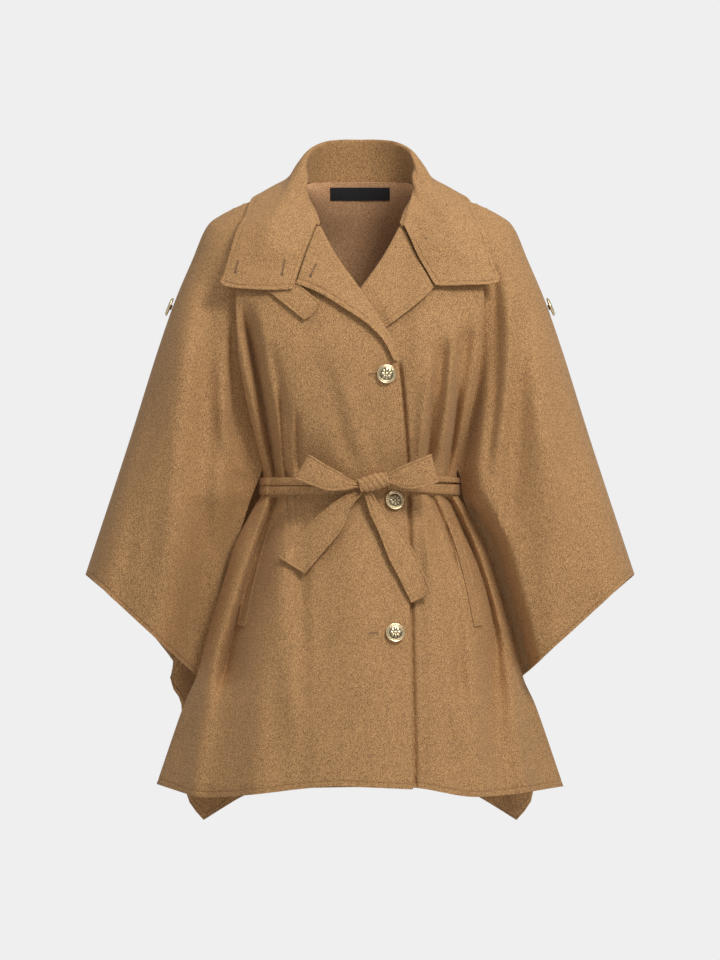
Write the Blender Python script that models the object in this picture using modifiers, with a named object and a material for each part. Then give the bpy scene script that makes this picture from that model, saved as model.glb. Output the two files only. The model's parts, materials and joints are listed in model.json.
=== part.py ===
"""A belted wool cape coat, worn shape, with no wearer in it.

Units are metres and +Z is up. The wearer faces -Y, so the wearer's left is at +X. The origin lies between
the shoulders, at the height where the cape rests on them. Tables are in millimetres; MM makes them metres.
Tables give one half of the cape: x is measured outward from the middle, and the side's sign mirrors it.
"""

import math
from collections import namedtuple

import bmesh
import bpy
import numpy as np
from mathutils import Vector
from mathutils.bvhtree import BVHTree

MM = 0.001

# ---- Driving sizes, in millimetres ----
WALL = 2.0             # thickness of the wool cloth
SEAM = 0.3             # space between two pieces at a seam
SEAM_OPEN = 0.9        # how much closer to the ridge the back ends than the front, at the overarm seam
BELT_WALL = 3.0        # thickness of the doubled belt cloth
BUTTON_RADIUS = 12.5
BUTTON_HEIGHT = 5.6
BUTTON_SEAT = 0.5      # space between a button's shank and the cloth
# a button's outline from the middle of its face to the foot of its shank: shares of its radius and height
BUTTON_PROFILE = [(0, 1), (0.45, 0.96), (0.72, 0.8), (0.8, 0.7), (0.88, 0.82), (0.96, 0.78), (1, 0.6),
                  (0.93, 0.42), (0.3, 0.34), (0.26, 0), (0, 0)]
WAIST_Z = -373.0       # middle of the belt
SLIT_SHARE = 0.475     # share of a front's length, from neck to hem, where the side slit starts
FRONT_ROUND = 62.0     # how far from the overarm ridge a front rounds over into it
BACK_ROUND = 85.0      # the same for the back
SEAM_FORWARD = 4.0     # the overarm seam lies this far in front of the ridge
UNDERLAP_DROP = 7.5    # how far the left front lies behind the right one where they overlap
UNDERLAP_FROM = 95.0   # the left front starts to sink here, outward from the middle
UNDERLAP_FULL = 52.0   # and has sunk fully here

RIGHT = -1             # the wearer's right is at -X
LEFT = 1

# ---- Colours and finishes ----
CAMEL = (0.46, 0.27, 0.12, 1.0)
CAMEL_DARK = (0.42, 0.245, 0.11, 1.0)
GOLD = (0.83, 0.62, 0.30, 1.0)
BLACK = (0.012, 0.012, 0.014, 1.0)

# ---- Lines that run down the cape: outward x, z ----
RIDGE = [(74, 13), (139, -1), (183, -21), (201, -38), (218, -78), (240, -130), (265, -202), (302, -320),
         (357, -487)]
RIDGE_Y = [(0, 4), (0.2, 8), (0.4, 4), (1, -5)]       # share of the ridge's length, y
FRONT_EDGE_TOP = [(56, -32), (34, -74), (1, -120), (-38, -182), (-49, -215), (-55, -262), (-60, -373)]
FRONT_EDGE_LOW = [(-60, -373), (-65, -526), (-69, -766)]
SIDE_TOP = [(67, 0), (112, -27), (146, -70), (160, -113), (161, -151), (157, -209), (148, -259), (137, -305),
            (126, -350)]
SIDE_LOW = [(126, -350), (123.5, -361), (123.5, -384), (130, -400), (160, -445), (175, -489), (199, -567),
            (213, -619),
            (231, -660), (265, -759)]
WING_TOP = [(69, 3), (117, -24), (152, -67), (165, -113), (162, -151), (156, -209), (148, -259), (138, -305),
            (134, -350)]
WING_LOW = [(134, -350), (139, -365), (148, -393), (157, -430), (166, -468), (179, -550), (193, -637)]
WING_HEM = [(193, -637), (213, -617), (285, -552), (357, -487)]
FRONT_HEM = {
    RIGHT: [(-69, -766), (0, -763), (36, -762), (83, -766), (130, -772), (178, -776), (211, -776),
            (232, -770),
            (265, -759)],
    LEFT: [(-69, -764), (0, -763), (72, -764), (128, -774), (156, -776), (203, -772), (265, -762)],
}
BACK_EDGE = [(0, 23), (0, -200), (0, -450), (0, -762)]
BACK_NECK = [(0, 23), (30, 22), (55, 19), (74, 13)]
BACK_CORNER_TOP = [(48, 20), (92, -60), (120, -160), (140, -300), (160, -480), (203, -806)]
BACK_HEM = [(0, -762), (60, -762), (110, -765), (150, -774), (203, -806)]
BACK_SIDE = {
    RIGHT: [(203, -806), (222, -782), (230, -745), (231, -700), (232, -655), (245, -632), (244, -616),
            (243, -600),
            (285, -549), (357, -487)],
    LEFT: [(203, -806), (222, -782), (226, -745), (222, -700), (217, -655), (216, -622), (236, -594),
           (285, -549),
           (357, -487)],
}

# ---- How far forward the cloth lies, by height ----
FrontDepth = namedtuple("FrontDepth", "z centre side wing_inner wing_outer")
FRONT_DEPTHS = [
    FrontDepth(20, -40, -28, -28, -24),
    FrontDepth(-50, -76, -62, -62, -55),
    FrontDepth(-113, -104, -84, -76, -74),
    FrontDepth(-200, -127, -90, -64, -86),
    FrontDepth(-300, -125, -68, -42, -88),
    FrontDepth(-350, -115, -46, -32, -88),
    FrontDepth(-373, -112, -40, -30, -88),
    FrontDepth(-450, -128, -40, -18, -86),
    FrontDepth(-600, -156, -36, -8, -82),
    FrontDepth(-770, -186, -28, -4, -80),
]
BackDepth = namedtuple("BackDepth", "z centre")
BACK_DEPTHS = [
    BackDepth(23, 58), BackDepth(-20, 74), BackDepth(-60, 92), BackDepth(-130, 110), BackDepth(-220, 119),
    BackDepth(-373, 122), BackDepth(-600, 136), BackDepth(-806, 152),
]
BACK_SIDE_DROP = 46.0          # how much less deep the back is at BACK_SIDE_DROP_X
BACK_SIDE_DROP_X = 250.0
CHEST_BOW = 2.2                # power by which a front falls back from its middle to its side
PAST_SIDE = 1.1                # it goes on falling back as far as this share of the way to its side
SIDE_ROLL_DEPTH = 7.0          # how far the fold along the body's side rolls back
SIDE_ROLL_WIDTH = 12.0
SIDE_ROLL_TOP = -110.0         # it starts at this z and is full this much lower
SIDE_ROLL_FADE = 60.0
UNFOLDED_X = 60.0              # the middle has no folds; they are full this much further out
UNFOLDED_FADE = 26.0
WING_BOW = 0.5                 # a wing reaches its full depth at this share of its width

# ---- Folds: x and z at the top, middle and bottom, width, and depth (forward is positive) ----
Fold = namedtuple("Fold", "x_top z_top x_mid z_mid x_low z_low width depth")
BODY_FOLDS = {
    RIGHT: [
        Fold(152, -120, 126, -260, 106, -362, 11, -15),
        Fold(134, -140, 112, -260, 92, -362, 9, 6),
        Fold(118, -180, 98, -280, 80, -362, 8, -6),
        Fold(96, -386, 143, -505, 176, -660, 15, -20),
        Fold(78, -388, 108, -500, 122, -900, 22, 9),
        Fold(122, -396, 172, -540, 222, -900, 15, 13),
        Fold(62, -400, 58, -560, 60, -900, 20, -6),
    ],
    LEFT: [
        Fold(108, -170, 98, -280, 88, -360, 9, -11),
        Fold(140, -150, 126, -270, 110, -360, 10, -13),
        Fold(124, -150, 112, -270, 99, -360, 8, 7),
        Fold(92, -190, 84, -290, 76, -360, 8, 4),
        Fold(106, -386, 150, -480, 182, -680, 13, -18),
        Fold(88, -388, 116, -490, 130, -680, 12, -12),
        Fold(98, -400, 134, -560, 152, -900, 18, 10),
        Fold(124, -396, 176, -560, 222, -900, 14, 13),
        Fold(70, -400, 72, -560, 84, -900, 18, -6),
    ],
}
WING_FOLDS = {
    RIGHT: [
        Fold(192, -60, 206, -250, 208, -480, 20, -16),
        Fold(214, -100, 238, -330, 256, -700, 22, 9),
        Fold(178, -170, 180, -330, 190, -600, 13, 9),
        Fold(250, -200, 292, -390, 324, -640, 18, -9),
    ],
    LEFT: [
        Fold(192, -60, 211, -213, 200, -400, 18, -19),
        Fold(210, -100, 236, -330, 254, -700, 20, 10),
        Fold(182, -160, 184, -330, 200, -620, 12, 9),
        Fold(246, -200, 286, -390, 314, -640, 18, -10),
    ],
}
BACK_FOLDS = [
    Fold(0, -120, 0, -420, 0, -900, 22, -9),
    Fold(40, -110, 54, -420, 64, -900, 24, 13),
    Fold(84, -90, 108, -420, 128, -900, 22, -15),
    Fold(126, -110, 158, -420, 186, -900, 22, 15),
    Fold(168, -120, 208, -380, 240, -760, 22, -13),
    Fold(214, -160, 262, -380, 306, -640, 22, 10),
]

FOLD_FADE = 0.2                # share of its length over which a fold starts and ends

# ---- Collar: one half's sections from the middle of the back to the front corner ----
# seam: where it meets the neck; roll: the top of the fold; mid and edge: the fall that turns down
CollarSection = namedtuple("CollarSection", "seam roll mid edge")
COLLAR_BACK = [
    CollarSection((0, 58, 23.6), (0, 53, 78), (0, 68, 46), (0, 78, 2)),
    CollarSection((24, 55, 23.2), (22, 49, 78), (32, 63, 46), (44, 75, 2)),
    CollarSection((48, 44, 22.5), (44, 36, 76), (64, 50, 43), (86, 58, 4)),
    CollarSection((66, 26, 19), (60, 20, 69), (86, 27, 34), (122, 32, 8)),
]
COLLAR_FRONT = {
    RIGHT: [
        CollarSection((71, 4, 16.5), (69, 2, 58), (97, 2, 25), (140, 0, 3)),
        CollarSection((68, -14, 9), (69, -17, 30), (106, -40, 0), (149, -36, -18)),
        CollarSection((64, -30, -1), (67, -35, 4), (116, -76, -28), (161, -66, -42)),
        CollarSection((58.3, -45, -11.5), (62, -52, -10), (116, -90, -52), (175, -84, -90)),
        CollarSection((55.2, -52, -19), (59.5, -58, -19), (104, -94, -66), (179, -92, -110)),
        CollarSection((53.3, -57, -25), (57, -63, -26), (90, -93, -70), (130, -104, -116)),
        CollarSection((51.8, -61, -29), (55, -66, -31), (73, -86, -70), (88, -108, -116)),
    ],
    LEFT: [
        CollarSection((71, 4, 16.5), (69, 2, 58), (97, 2, 25), (140, 0, 3)),
        CollarSection((68, -14, 9), (69, -17, 30), (106, -40, 2), (150, -36, -16)),
        CollarSection((64, -30, -1), (67, -35, 4), (118, -74, -28), (162, -64, -42)),
        CollarSection((58.3, -45, -11.5), (62, -52, -10), (118, -88, -52), (174, -82, -84)),
        CollarSection((55.2, -52, -19), (59.5, -58, -19), (106, -92, -64), (180, -90, -106)),
        CollarSection((53.3, -57, -25), (57, -63, -26), (94, -92, -70), (136, -102, -110)),
        CollarSection((51.8, -61, -29), (55, -66, -32), (75, -86, -71), (98, -106, -111)),
    ],
}
COLLAR_ROLL = 4.0              # radius of the fold at the collar's top
COLLAR_LIFT = 7.0              # how far the collar's leaf lies in front of the chest

# ---- Lapels: fold edge, top edge and outer edge, outward x and z ----
Lapel = namedtuple("Lapel", "roll top outer low")
LAPELS = {
    RIGHT: Lapel(
        roll=[(56, -34), (34, -74), (1, -120), (-38, -182), (-47, -209)],
        top=[(56, -34), (70, -70), (83, -109)],
        outer=[(83, -109), (53, -121), (16, -144), (-9, -161), (-30, -182), (-44, -208)],
        low=[(-47, -209), (-44, -208)]),
    LEFT: Lapel(
        roll=[(56, -34), (34, -74), (1, -120), (-12.5, -139)],
        top=[(56, -34), (72, -70), (96, -113)],
        outer=[(96, -113), (85, -125), (58, -147), (30, -168), (19, -177)],
        low=[(-12.5, -139), (19, -177)]),
}
LAPEL_CURL = 4.8               # how far the fold where a lapel turns back stands out past its front's edge
LAPEL_SAMPLE = 1.5             # the fold edge is seated on points of its front this far in from the edge
LAPEL_SEAT = 1.2               # space between a lapel and its front, along the fold
LAPEL_FREE = 22.0              # the left lapel lies flat until it is this far past the right front's edge
LAPEL_FREE_FADE = 15.7         # and lifts over this width
LAPEL_RISE = 4.0               # how much further its outer edge stands off
LAPEL_TOP_RISE = 0.2           # share of its height by which it has already opened at its top edge
LAPEL_CURL_SEAT = 0.2          # space between the fold's inmost point and the front's face

# ---- Small sewn pieces ----
TAB_AXIS = [(124, -94), (64, -144)]      # throat tab, from under the collar to its tip
TAB_HALF_WIDTH = 15.0
TAB_TIP_LENGTH = 5.0
TAB_TIP_DRAW = 0.75            # how far the tip's corners are drawn in
LABEL_SIZE = (77, 17)
LABEL_TOP_Z = 16.0
LABEL_WALL = 0.6
LABEL_SEAT = 3.4               # how far its face lies in front of the back's outer face
WELT_LINE = [(118, -416), (131, -451), (144, -500), (155, -554)]
WELT_HALF_WIDTH = 6.0
WELT_WALL = 2.0
WELT_SEAT = 0.6                # space between a welt and the skirt's folds

# ---- Belt: each stretch across the front, top and bottom z near the bow and at the side ----
BeltStretch = namedtuple("BeltStretch", "name side x_from top low side_top side_low")
BELT_STRETCHES = [
    BeltStretch("belt_right_upper", RIGHT, 30, -360, -371, -361, -371),
    BeltStretch("belt_right_lower", RIGHT, -6, -371.6, -383, -371.6, -383),
    BeltStretch("belt_left_upper", LEFT, 50, -352, -364, -362, -368),
    BeltStretch("belt_left_lower", LEFT, 36, -368, -377.5, -370, -384),
]
BELT_LIFT = 0.5                # space between the belt and the cloth under it
BELT_BULGE = 1.2               # how much each folded stretch rounds forward
BELT_SIDE = (131.5, -6)        # where the belt's front stretches end, at the sides
BELT_TURN_X = 116.0            # the belt starts to turn back here
BELT_TURN = (0.25, 0.5, 0.75, 1.0)       # steps of that quarter turn
BELT_BACK = [(131.5, -5.5), (128, 22), (110, 58), (70, 88), (0, 99)]
BELT_BACK_Z = (-361, -384)

# ---- Bow: each ribbon is a row of rungs, from one edge (a) to the other (b) ----
# a loop's lift is measured forward from the belt's face, and a tail's from where it would lie on the skirt
Rung = namedtuple("Rung", "ax az bx bz lift")
BOW_LOOP_RIGHT = [
    Rung(4, -368.8, 5, -373.2, 13), Rung(-10, -365.5, -9, -375.5, 13.5), Rung(-26, -354, -24, -378, 17),
    Rung(-46, -343, -46, -377, 20), Rung(-60, -334, -76, -366, 18), Rung(-67, -331, -86, -363, 12.5),
    Rung(-60, -334, -76, -366, 6.5), Rung(-46, -343, -46, -375, 5.5), Rung(-26, -354, -24, -374, 5.5),
    Rung(-10, -364, -9, -375, 8), Rung(4, -367.5, 5, -373.5, 9),
]
BOW_LOOP_LEFT = [
    Rung(32, -360.5, 33, -366.5, 13), Rung(46, -355, 46, -368, 14), Rung(62, -351, 62, -374, 18),
    Rung(84, -351, 86, -371, 20), Rung(98, -351, 101, -367, 18), Rung(104, -342, 107, -358, 13),
    Rung(95, -331, 98, -353, 6.5), Rung(78, -334, 80, -356, 5.5), Rung(60, -340, 61, -359, 5.5),
    Rung(46, -353, 46, -364, 6.5), Rung(32, -360.5, 33, -366.5, 7),
]
BOW_TAIL_RIGHT = [
    Rung(-6, -380.6, 4, -381.2, 9), Rung(-24, -386, -12, -400, 6), Rung(-49, -405, -25, -430, 3),
    Rung(-73, -428, -49, -459, 1), Rung(-108, -464, -72, -486, 0.3),
]
BOW_TAIL_LEFT = [
    Rung(6, -382.6, 16, -378.8, 9), Rung(13, -408, 27, -399, 6), Rung(25, -434, 45, -420, 3),
    Rung(38, -467, 68, -452, 1), Rung(50, -490, 80, -478, 0.6), Rung(67, -524, 93, -510, 0.3),
]
RIBBON_WALL = 2.4
OVERLAP_END = 56.0             # the right front reaches a little further than this past the middle
KNOT_CENTRE = (18, -367)
KNOT_TILT = 14.0               # degrees, its left end up
KNOT_HALF = (19.5, 8.4, 11.0)  # half its width, depth and height
KNOT_LIFT = 10.2
KNOT_CREASE = 1.1              # depth of the creases round it
KNOT_TWIST = 9.0               # radians between one crease and the next, over half its width
KNOT_TAPER = 0.16              # how much slimmer its ends are
KNOT_SQUARE = 0.75             # 1 is a round section, and less is squarer

# ---- Buttons: x, z on the front; share of the overarm ridge's length at the shoulder ----
FRONT_BUTTONS = {"button_top": (34, -226), "button_middle": (44, -391), "button_bottom": (45, -563)}
SHOULDER_BUTTON_Z = -140.0
SHOULDER_BUTTON_AXIS = (0.92, 0.38)      # out and up

# ---- How finely the cloth is divided ----
BODY_COLUMNS = 15
WING_COLUMNS = 11
RIDGE_CLOSE = 1.7              # columns close up toward the ridge by this power
ROWS_ABOVE_SLIT = 13
ROWS_BELOW_SLIT = 13
BACK_BODY_COLUMNS = 8
BACK_WING_COLUMNS = 10
COLLAR_COLUMNS = 38
WELD = 0.000001                # metres; only points in one place are joined
BELT_STEPS = 16
BELT_ACROSS = 4
BELT_BACK_STEPS = 15
LAPEL_COLUMNS = 6
LAPEL_ROWS = 12
TAB_STEPS = 9
TAB_ACROSS = 4
WELT_STEPS = 12
LABEL_COLUMNS = 9
LABEL_ROWS = 4
LOOP_STEPS = 26
TAIL_STEPS = 12
RIBBON_ACROSS = 4
KNOT_STEPS = 9
KNOT_AROUND = 25
BUTTON_TURNS = 16
WRAP_STEPS = (0.3, 1.0)        # the back's columns over the overarm ridge, as shares of the way to the seam
COLLAR_RINGS = np.array([0, 0.12, 0.24, 0.31, 0.36, 0.42, 0.5, 0.62, 0.74, 0.87, 1.0])


class Line:
    """A smooth curve through a few points, read by its share of length."""

    STEPS = 14

    def __init__(self, points):
        self.points = smooth_curve(np.array(points, dtype=float), self.STEPS)
        spans = np.linalg.norm(np.diff(self.points, axis=0), axis=1)
        self.lengths = np.concatenate([[0.0], np.cumsum(spans)])

    def at(self, share):
        place = np.asarray(share) * self.lengths[-1]
        return np.stack([np.interp(place, self.lengths, column) for column in self.points.T], axis=-1)


class SplitLine:
    """Two curves end to end, that meet at a fixed share of the whole."""

    def __init__(self, upper, lower, split=SLIT_SHARE):
        self.upper = Line(upper)
        self.lower = Line(lower)
        self.split = split

    def at(self, share):
        share = np.asarray(share, dtype=float)
        above = self.upper.at(np.clip(share / self.split, 0, 1))
        below = self.lower.at(np.clip((share - self.split) / (1 - self.split), 0, 1))
        return np.where((share <= self.split)[..., None], above, below)


class Levels:
    """A table of sizes by height, read smoothly between its rows."""

    def __init__(self, rows):
        self.rows = sorted(rows, key=lambda row: row.z)
        self.z = np.array([row.z for row in self.rows], dtype=float)

    def read(self, column, z):
        values = np.array([getattr(row, column) for row in self.rows], dtype=float)
        slopes = np.gradient(values, self.z)
        z = np.clip(z, self.z[0], self.z[-1])
        index = np.clip(np.searchsorted(self.z, z) - 1, 0, len(self.z) - 2)
        span = self.z[index + 1] - self.z[index]
        t = (z - self.z[index]) / span
        return ((2 * t**3 - 3 * t**2 + 1) * values[index] + (t**3 - 2 * t**2 + t) * span * slopes[index]
                + (3 * t**2 - 2 * t**3) * values[index + 1] + (t**3 - t**2) * span * slopes[index + 1])


def smooth_curve(points, steps):
    """Points on a Catmull-Rom curve that passes through each given point."""
    padded = np.vstack([2 * points[0] - points[1], points, 2 * points[-1] - points[-2]])
    t = np.linspace(0, 1, steps, endpoint=False)[:, None]
    spans = []
    for a, b, c, d in zip(padded, padded[1:], padded[2:], padded[3:]):
        spans.append(0.5 * (2 * b + (c - a) * t + (2 * a - 5 * b + 4 * c - d) * t**2
                            + (3 * b - a - 3 * c + d) * t**3))
    return np.vstack(spans + [points[-1:]])


def smooth_step(value):
    """Rises from 0 to 1 with no corner at either end."""
    value = np.clip(value, 0, 1)
    return value * value * (3 - 2 * value)


def patch(first, last, top, bottom, u, v):
    """A grid of (x, z) places between four border curves: rows go down, columns go across."""
    u_grid, v_grid = np.meshgrid(u, v)
    u_grid = u_grid[..., None]
    v_grid = v_grid[..., None]
    sides = (1 - u_grid) * first.at(v)[:, None, :] + u_grid * last.at(v)[:, None, :]
    ends = (1 - v_grid) * top.at(u)[None, :, :] + v_grid * bottom.at(u)[None, :, :]
    corners = ((1 - u_grid) * (1 - v_grid) * first.at(0) + u_grid * (1 - v_grid) * last.at(0)
               + (1 - u_grid) * v_grid * first.at(1) + u_grid * v_grid * last.at(1))
    return sides + ends - corners


# ---- The cape's surface ----
RIDGE_LINE = Line(RIDGE)
RIDGE_SHARES = np.linspace(0, 1, 160)
RIDGE_POINTS = RIDGE_LINE.at(RIDGE_SHARES)
FRONT_LEVELS = Levels(FRONT_DEPTHS)
BACK_LEVELS = Levels(BACK_DEPTHS)


def ridge_y(share):
    """The ridge's place from front to back."""
    shares, depths = zip(*RIDGE_Y)
    return np.interp(share, shares, depths)


def nearest_ridge(x, z):
    """The distance to the overarm ridge, and the ridge's y there."""
    gaps = np.hypot(x[..., None] - RIDGE_POINTS[:, 0], z[..., None] - RIDGE_POINTS[:, 1])
    nearest = gaps.argmin(axis=-1)
    return np.take_along_axis(gaps, nearest[..., None], axis=-1)[..., 0], ridge_y(RIDGE_SHARES[nearest])


def round_to_ridge(x, z, full, reach):
    """Bends a depth round so that the cloth meets the ridge at a right angle."""
    distance, at_ridge = nearest_ridge(x, z)
    turn = np.sqrt(1 - (1 - np.clip(distance / reach, 0, 1)) ** 2)
    return at_ridge + (full - at_ridge) * turn


def side_x(z):
    """How far out the body's side line lies at a height."""
    points = np.vstack([Line(SIDE_TOP).points, Line(SIDE_LOW).points])
    order = np.argsort(points[:, 1])
    return np.interp(z, points[order, 1], points[order, 0])


def edge_x(z):
    """How far out a front's edge lies at a height."""
    points = np.vstack([Line(FRONT_EDGE_TOP).points, Line(FRONT_EDGE_LOW).points])
    order = np.argsort(points[:, 1])
    return np.interp(z, points[order, 1], points[order, 0])


def fold_shift(x, z, folds):
    """How far the folds move the cloth forward."""
    shift = np.zeros_like(x)
    for fold in folds:
        line = np.polyfit([fold.z_top, fold.z_mid, fold.z_low], [fold.x_top, fold.x_mid, fold.x_low], 2)
        run = (fold.z_top - z) / (fold.z_top - fold.z_low)
        fade = smooth_step(run / FOLD_FADE) * smooth_step((1 - run) / FOLD_FADE)
        shift += fold.depth * fade * np.exp(-((x - np.polyval(line, z)) / fold.width) ** 2)
    return shift


def body_depth(x, z, side):
    """y of a front's body and skirt, at outward x."""
    centre = FRONT_LEVELS.read("centre", z)
    edge = FRONT_LEVELS.read("side", z)
    out = side_x(z)
    y = centre + (edge - centre) * np.clip(np.abs(x) / out, 0, PAST_SIDE) ** CHEST_BOW
    rolled = np.clip(1 - (out - x) / SIDE_ROLL_WIDTH, 0, 1) ** 2
    y = y + SIDE_ROLL_DEPTH * rolled * smooth_step((SIDE_ROLL_TOP - z) / SIDE_ROLL_FADE)
    near_middle = smooth_step((x - UNFOLDED_X) / UNFOLDED_FADE)
    y = y - fold_shift(x, z, BODY_FOLDS[side]) * near_middle
    y = round_to_ridge(x, z, y, FRONT_ROUND)
    if side == LEFT:
        y = y + UNDERLAP_DROP * smooth_step((UNDERLAP_FROM - x) / (UNDERLAP_FROM - UNDERLAP_FULL))
    return y


def wing_depth(x, z, side):
    """y of a front's wing, at outward x."""
    inner = FRONT_LEVELS.read("wing_inner", z)
    outer = FRONT_LEVELS.read("wing_outer", z)
    start = side_x(z)
    order = np.argsort(RIDGE_POINTS[:, 1])
    end = np.interp(z, RIDGE_POINTS[order, 1], RIDGE_POINTS[order, 0])
    across = np.clip((x - start) / np.maximum(end - start, 1), 0, 1)
    y = inner + (outer - inner) * smooth_step(across / WING_BOW)
    y = y - fold_shift(x, z, WING_FOLDS[side])
    return round_to_ridge(x, z, y, FRONT_ROUND)


def chest_depth(x, z, side):
    """y of the front's outer face, body or wing, whichever is at outward x."""
    return np.where(x <= side_x(z), body_depth(x, z, side), wing_depth(x, z, side))


def back_depth(x, z):
    """y of the back, at outward x."""
    y = BACK_LEVELS.read("centre", z) - BACK_SIDE_DROP * (x / BACK_SIDE_DROP_X) ** 2
    y = y + fold_shift(x, z, BACK_FOLDS)
    return round_to_ridge(x, z, y, BACK_ROUND)


def moved_in(line, distance):
    """The ridge, moved toward the front's middle by a distance."""
    shares = np.linspace(0, 1, 24)
    points = line.at(shares)
    along = np.gradient(points, axis=0)
    along /= np.linalg.norm(along, axis=1)[:, None]
    inward = np.stack([along[:, 1], -along[:, 0]], axis=1)
    return points + inward * distance


# ---- Building objects ----
def make_material(name, colour, roughness, metallic=0.0):
    """One plain finish."""
    material = bpy.data.materials.new(name)
    material.use_nodes = True
    shader = material.node_tree.nodes["Principled BSDF"]
    shader.inputs["Base Color"].default_value = colour
    shader.inputs["Roughness"].default_value = roughness
    shader.inputs["Metallic"].default_value = metallic
    material.diffuse_color = colour
    return material


def add_object(name, mesh, colour=CAMEL, roughness=0.9, metallic=0.0):
    """Puts a mesh in the cape's collection with a finish of its own."""
    thing = bpy.data.objects.new(name, mesh)
    thing.data.materials.append(make_material(name, colour, roughness, metallic))
    bpy.data.collections["wool_cape"].objects.link(thing)
    mesh.shade_smooth()
    mesh.set_sharp_from_angle(angle=math.radians(50))
    return thing


def cloth_sheet(name, points, outward, wall=WALL, cut=None, closed=False, **finish):
    """A wall of cloth from a grid of outer points in millimetres.

    outward(centre) gives a direction that the outer face looks along, and cut(column, row) leaves a face out.
    The last column of a closed sheet lies on its first.
    """
    rows, columns = points.shape[:2]
    sheet = bmesh.new()
    bmesh.ops.create_grid(sheet, x_segments=columns - 1, y_segments=rows - 1, size=1)
    for vert in sheet.verts:
        vert.index = (round((vert.co.x + 1) / 2 * (columns - 1))
                      + round((vert.co.y + 1) / 2 * (rows - 1)) * columns)
    if cut:
        gone = [face for face in sheet.faces
                if cut(min(vert.index % columns for vert in face.verts),
                       min(vert.index // columns for vert in face.verts))]
        bmesh.ops.delete(sheet, geom=gone, context="FACES_ONLY")
    for vert in sheet.verts:
        vert.co = Vector(points[vert.index // columns, vert.index % columns]) * MM
    if closed:
        bmesh.ops.remove_doubles(sheet, verts=sheet.verts[:], dist=WELD)
    sheet.normal_update()
    facing = sum(face.normal.dot(outward(face.calc_center_median())) * face.calc_area()
                 for face in sheet.faces)
    if facing < 0:
        bmesh.ops.reverse_faces(sheet, faces=sheet.faces[:])
    mesh = bpy.data.meshes.new(name)
    sheet.to_mesh(mesh)
    sheet.free()
    thing = add_object(name, mesh, **finish)
    solidify = thing.modifiers.new("wall", "SOLIDIFY")
    solidify.thickness = wall * MM
    solidify.offset = -1
    return thing


def forward(_centre):
    """The front's outer face looks forward."""
    return Vector((0, -1, 0))


def backward(_centre):
    """The back's outer face looks backward."""
    return Vector((0, 1, 0))


class Face:
    """The outer face of a finished front, to seat other pieces on."""

    FAR = 1.0
    CELL_SHARES = (0.0, 0.25, 0.5, 0.75, 1.0)

    def __init__(self, front, side):
        self.side = side
        front.data.calc_loop_triangles()
        corners = [vert.co.copy() for vert in front.data.vertices]
        facets = [tuple(facet.vertices) for facet in front.data.loop_triangles]
        self.tree = BVHTree.FromPolygons(corners, facets)

    def hit(self, x, z):
        """The place on the face at a world (x, z) in millimetres, and its direction out."""
        start = Vector((x * MM, -self.FAR, z * MM))
        place, normal, _index, _length = self.tree.ray_cast(start, Vector((0, 1, 0)))
        if place is None:
            y = body_depth(np.array([self.side * x]), np.array([z]), self.side)[0]
            return Vector((x, y, z)) * MM, Vector((0, -1, 0))
        return place, normal if normal.y < 0 else -normal

    def clear(self, x, z, distance):
        """y at each world (x, z), in millimetres, at a distance out from the facet there."""
        flat = []
        for a, b in zip(np.ravel(x), np.ravel(z)):
            place, normal = self.hit(a, b)
            flat.append(place.y / MM + distance / normal.y)
        return np.reshape(flat, np.shape(x))

    def seat(self, x, z, wall, gap=SEAM):
        """y for a piece's outer points, so that its inner face clears every facet under it by the gap."""
        y = self.clear(x, z, wall + gap)
        rise = np.zeros_like(y[1:, 1:])
        for s in self.CELL_SHARES:
            for t in self.CELL_SHARES:
                mid_x, mid_y, mid_z = (inside_cells(grid, s, t) for grid in (x, y, z))
                rise = np.maximum(rise, mid_y - self.clear(mid_x, mid_z, wall + gap))
        rise = np.pad(rise, 1)
        return y - np.max([rise[:-1, :-1], rise[:-1, 1:], rise[1:, :-1], rise[1:, 1:]], axis=0)


def inside_cells(grid, s, t):
    """Values inside a grid's cells, a share s of the way across each and t of the way down."""
    return ((1 - s) * (1 - t) * grid[:-1, :-1] + s * (1 - t) * grid[:-1, 1:]
            + (1 - s) * t * grid[1:, :-1] + s * t * grid[1:, 1:])


def joined(xz, y, side):
    """Grid points in world millimetres from outward places and depths."""
    return np.stack([side * xz[..., 0], y, xz[..., 1]], axis=-1)


def row_shares():
    """The rows' shares of a front's length; one row lies at the top of the slit."""
    above = np.linspace(0, SLIT_SHARE, ROWS_ABOVE_SLIT + 1)
    below = np.linspace(SLIT_SHARE, 1, ROWS_BELOW_SLIT + 1)
    return np.concatenate([above, below[1:]])


def closing_shares(count):
    """Shares across a wing that lie closer together toward the ridge."""
    return 1 - (1 - np.linspace(0, 1, count)) ** RIDGE_CLOSE


def build_front(name, side):
    """One front: body, skirt and wing in one cut, with a slit from the belt down."""
    rows = row_shares()
    seam_line = Line(moved_in(RIDGE_LINE, SEAM_FORWARD + SEAM_OPEN / 2))
    body = patch(SplitLine(FRONT_EDGE_TOP, FRONT_EDGE_LOW), SplitLine(SIDE_TOP, SIDE_LOW),
                 Line([FRONT_EDGE_TOP[0], SIDE_TOP[0]]), Line(FRONT_HEM[side]),
                 np.linspace(0, 1, BODY_COLUMNS), rows)
    wing = patch(SplitLine(WING_TOP, WING_LOW), seam_line,
                 Line([WING_TOP[0], tuple(seam_line.at(0))]), Line(WING_HEM[:3] + [tuple(seam_line.at(1))]),
                 closing_shares(WING_COLUMNS), rows)
    points = np.concatenate([
        joined(body, body_depth(body[..., 0], body[..., 1], side), side),
        joined(wing, wing_depth(wing[..., 0], wing[..., 1], side), side)], axis=1)
    return cloth_sheet(name, points, forward,
                       cut=lambda column, row: column == BODY_COLUMNS - 1 and row >= ROWS_ABOVE_SLIT)


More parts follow.
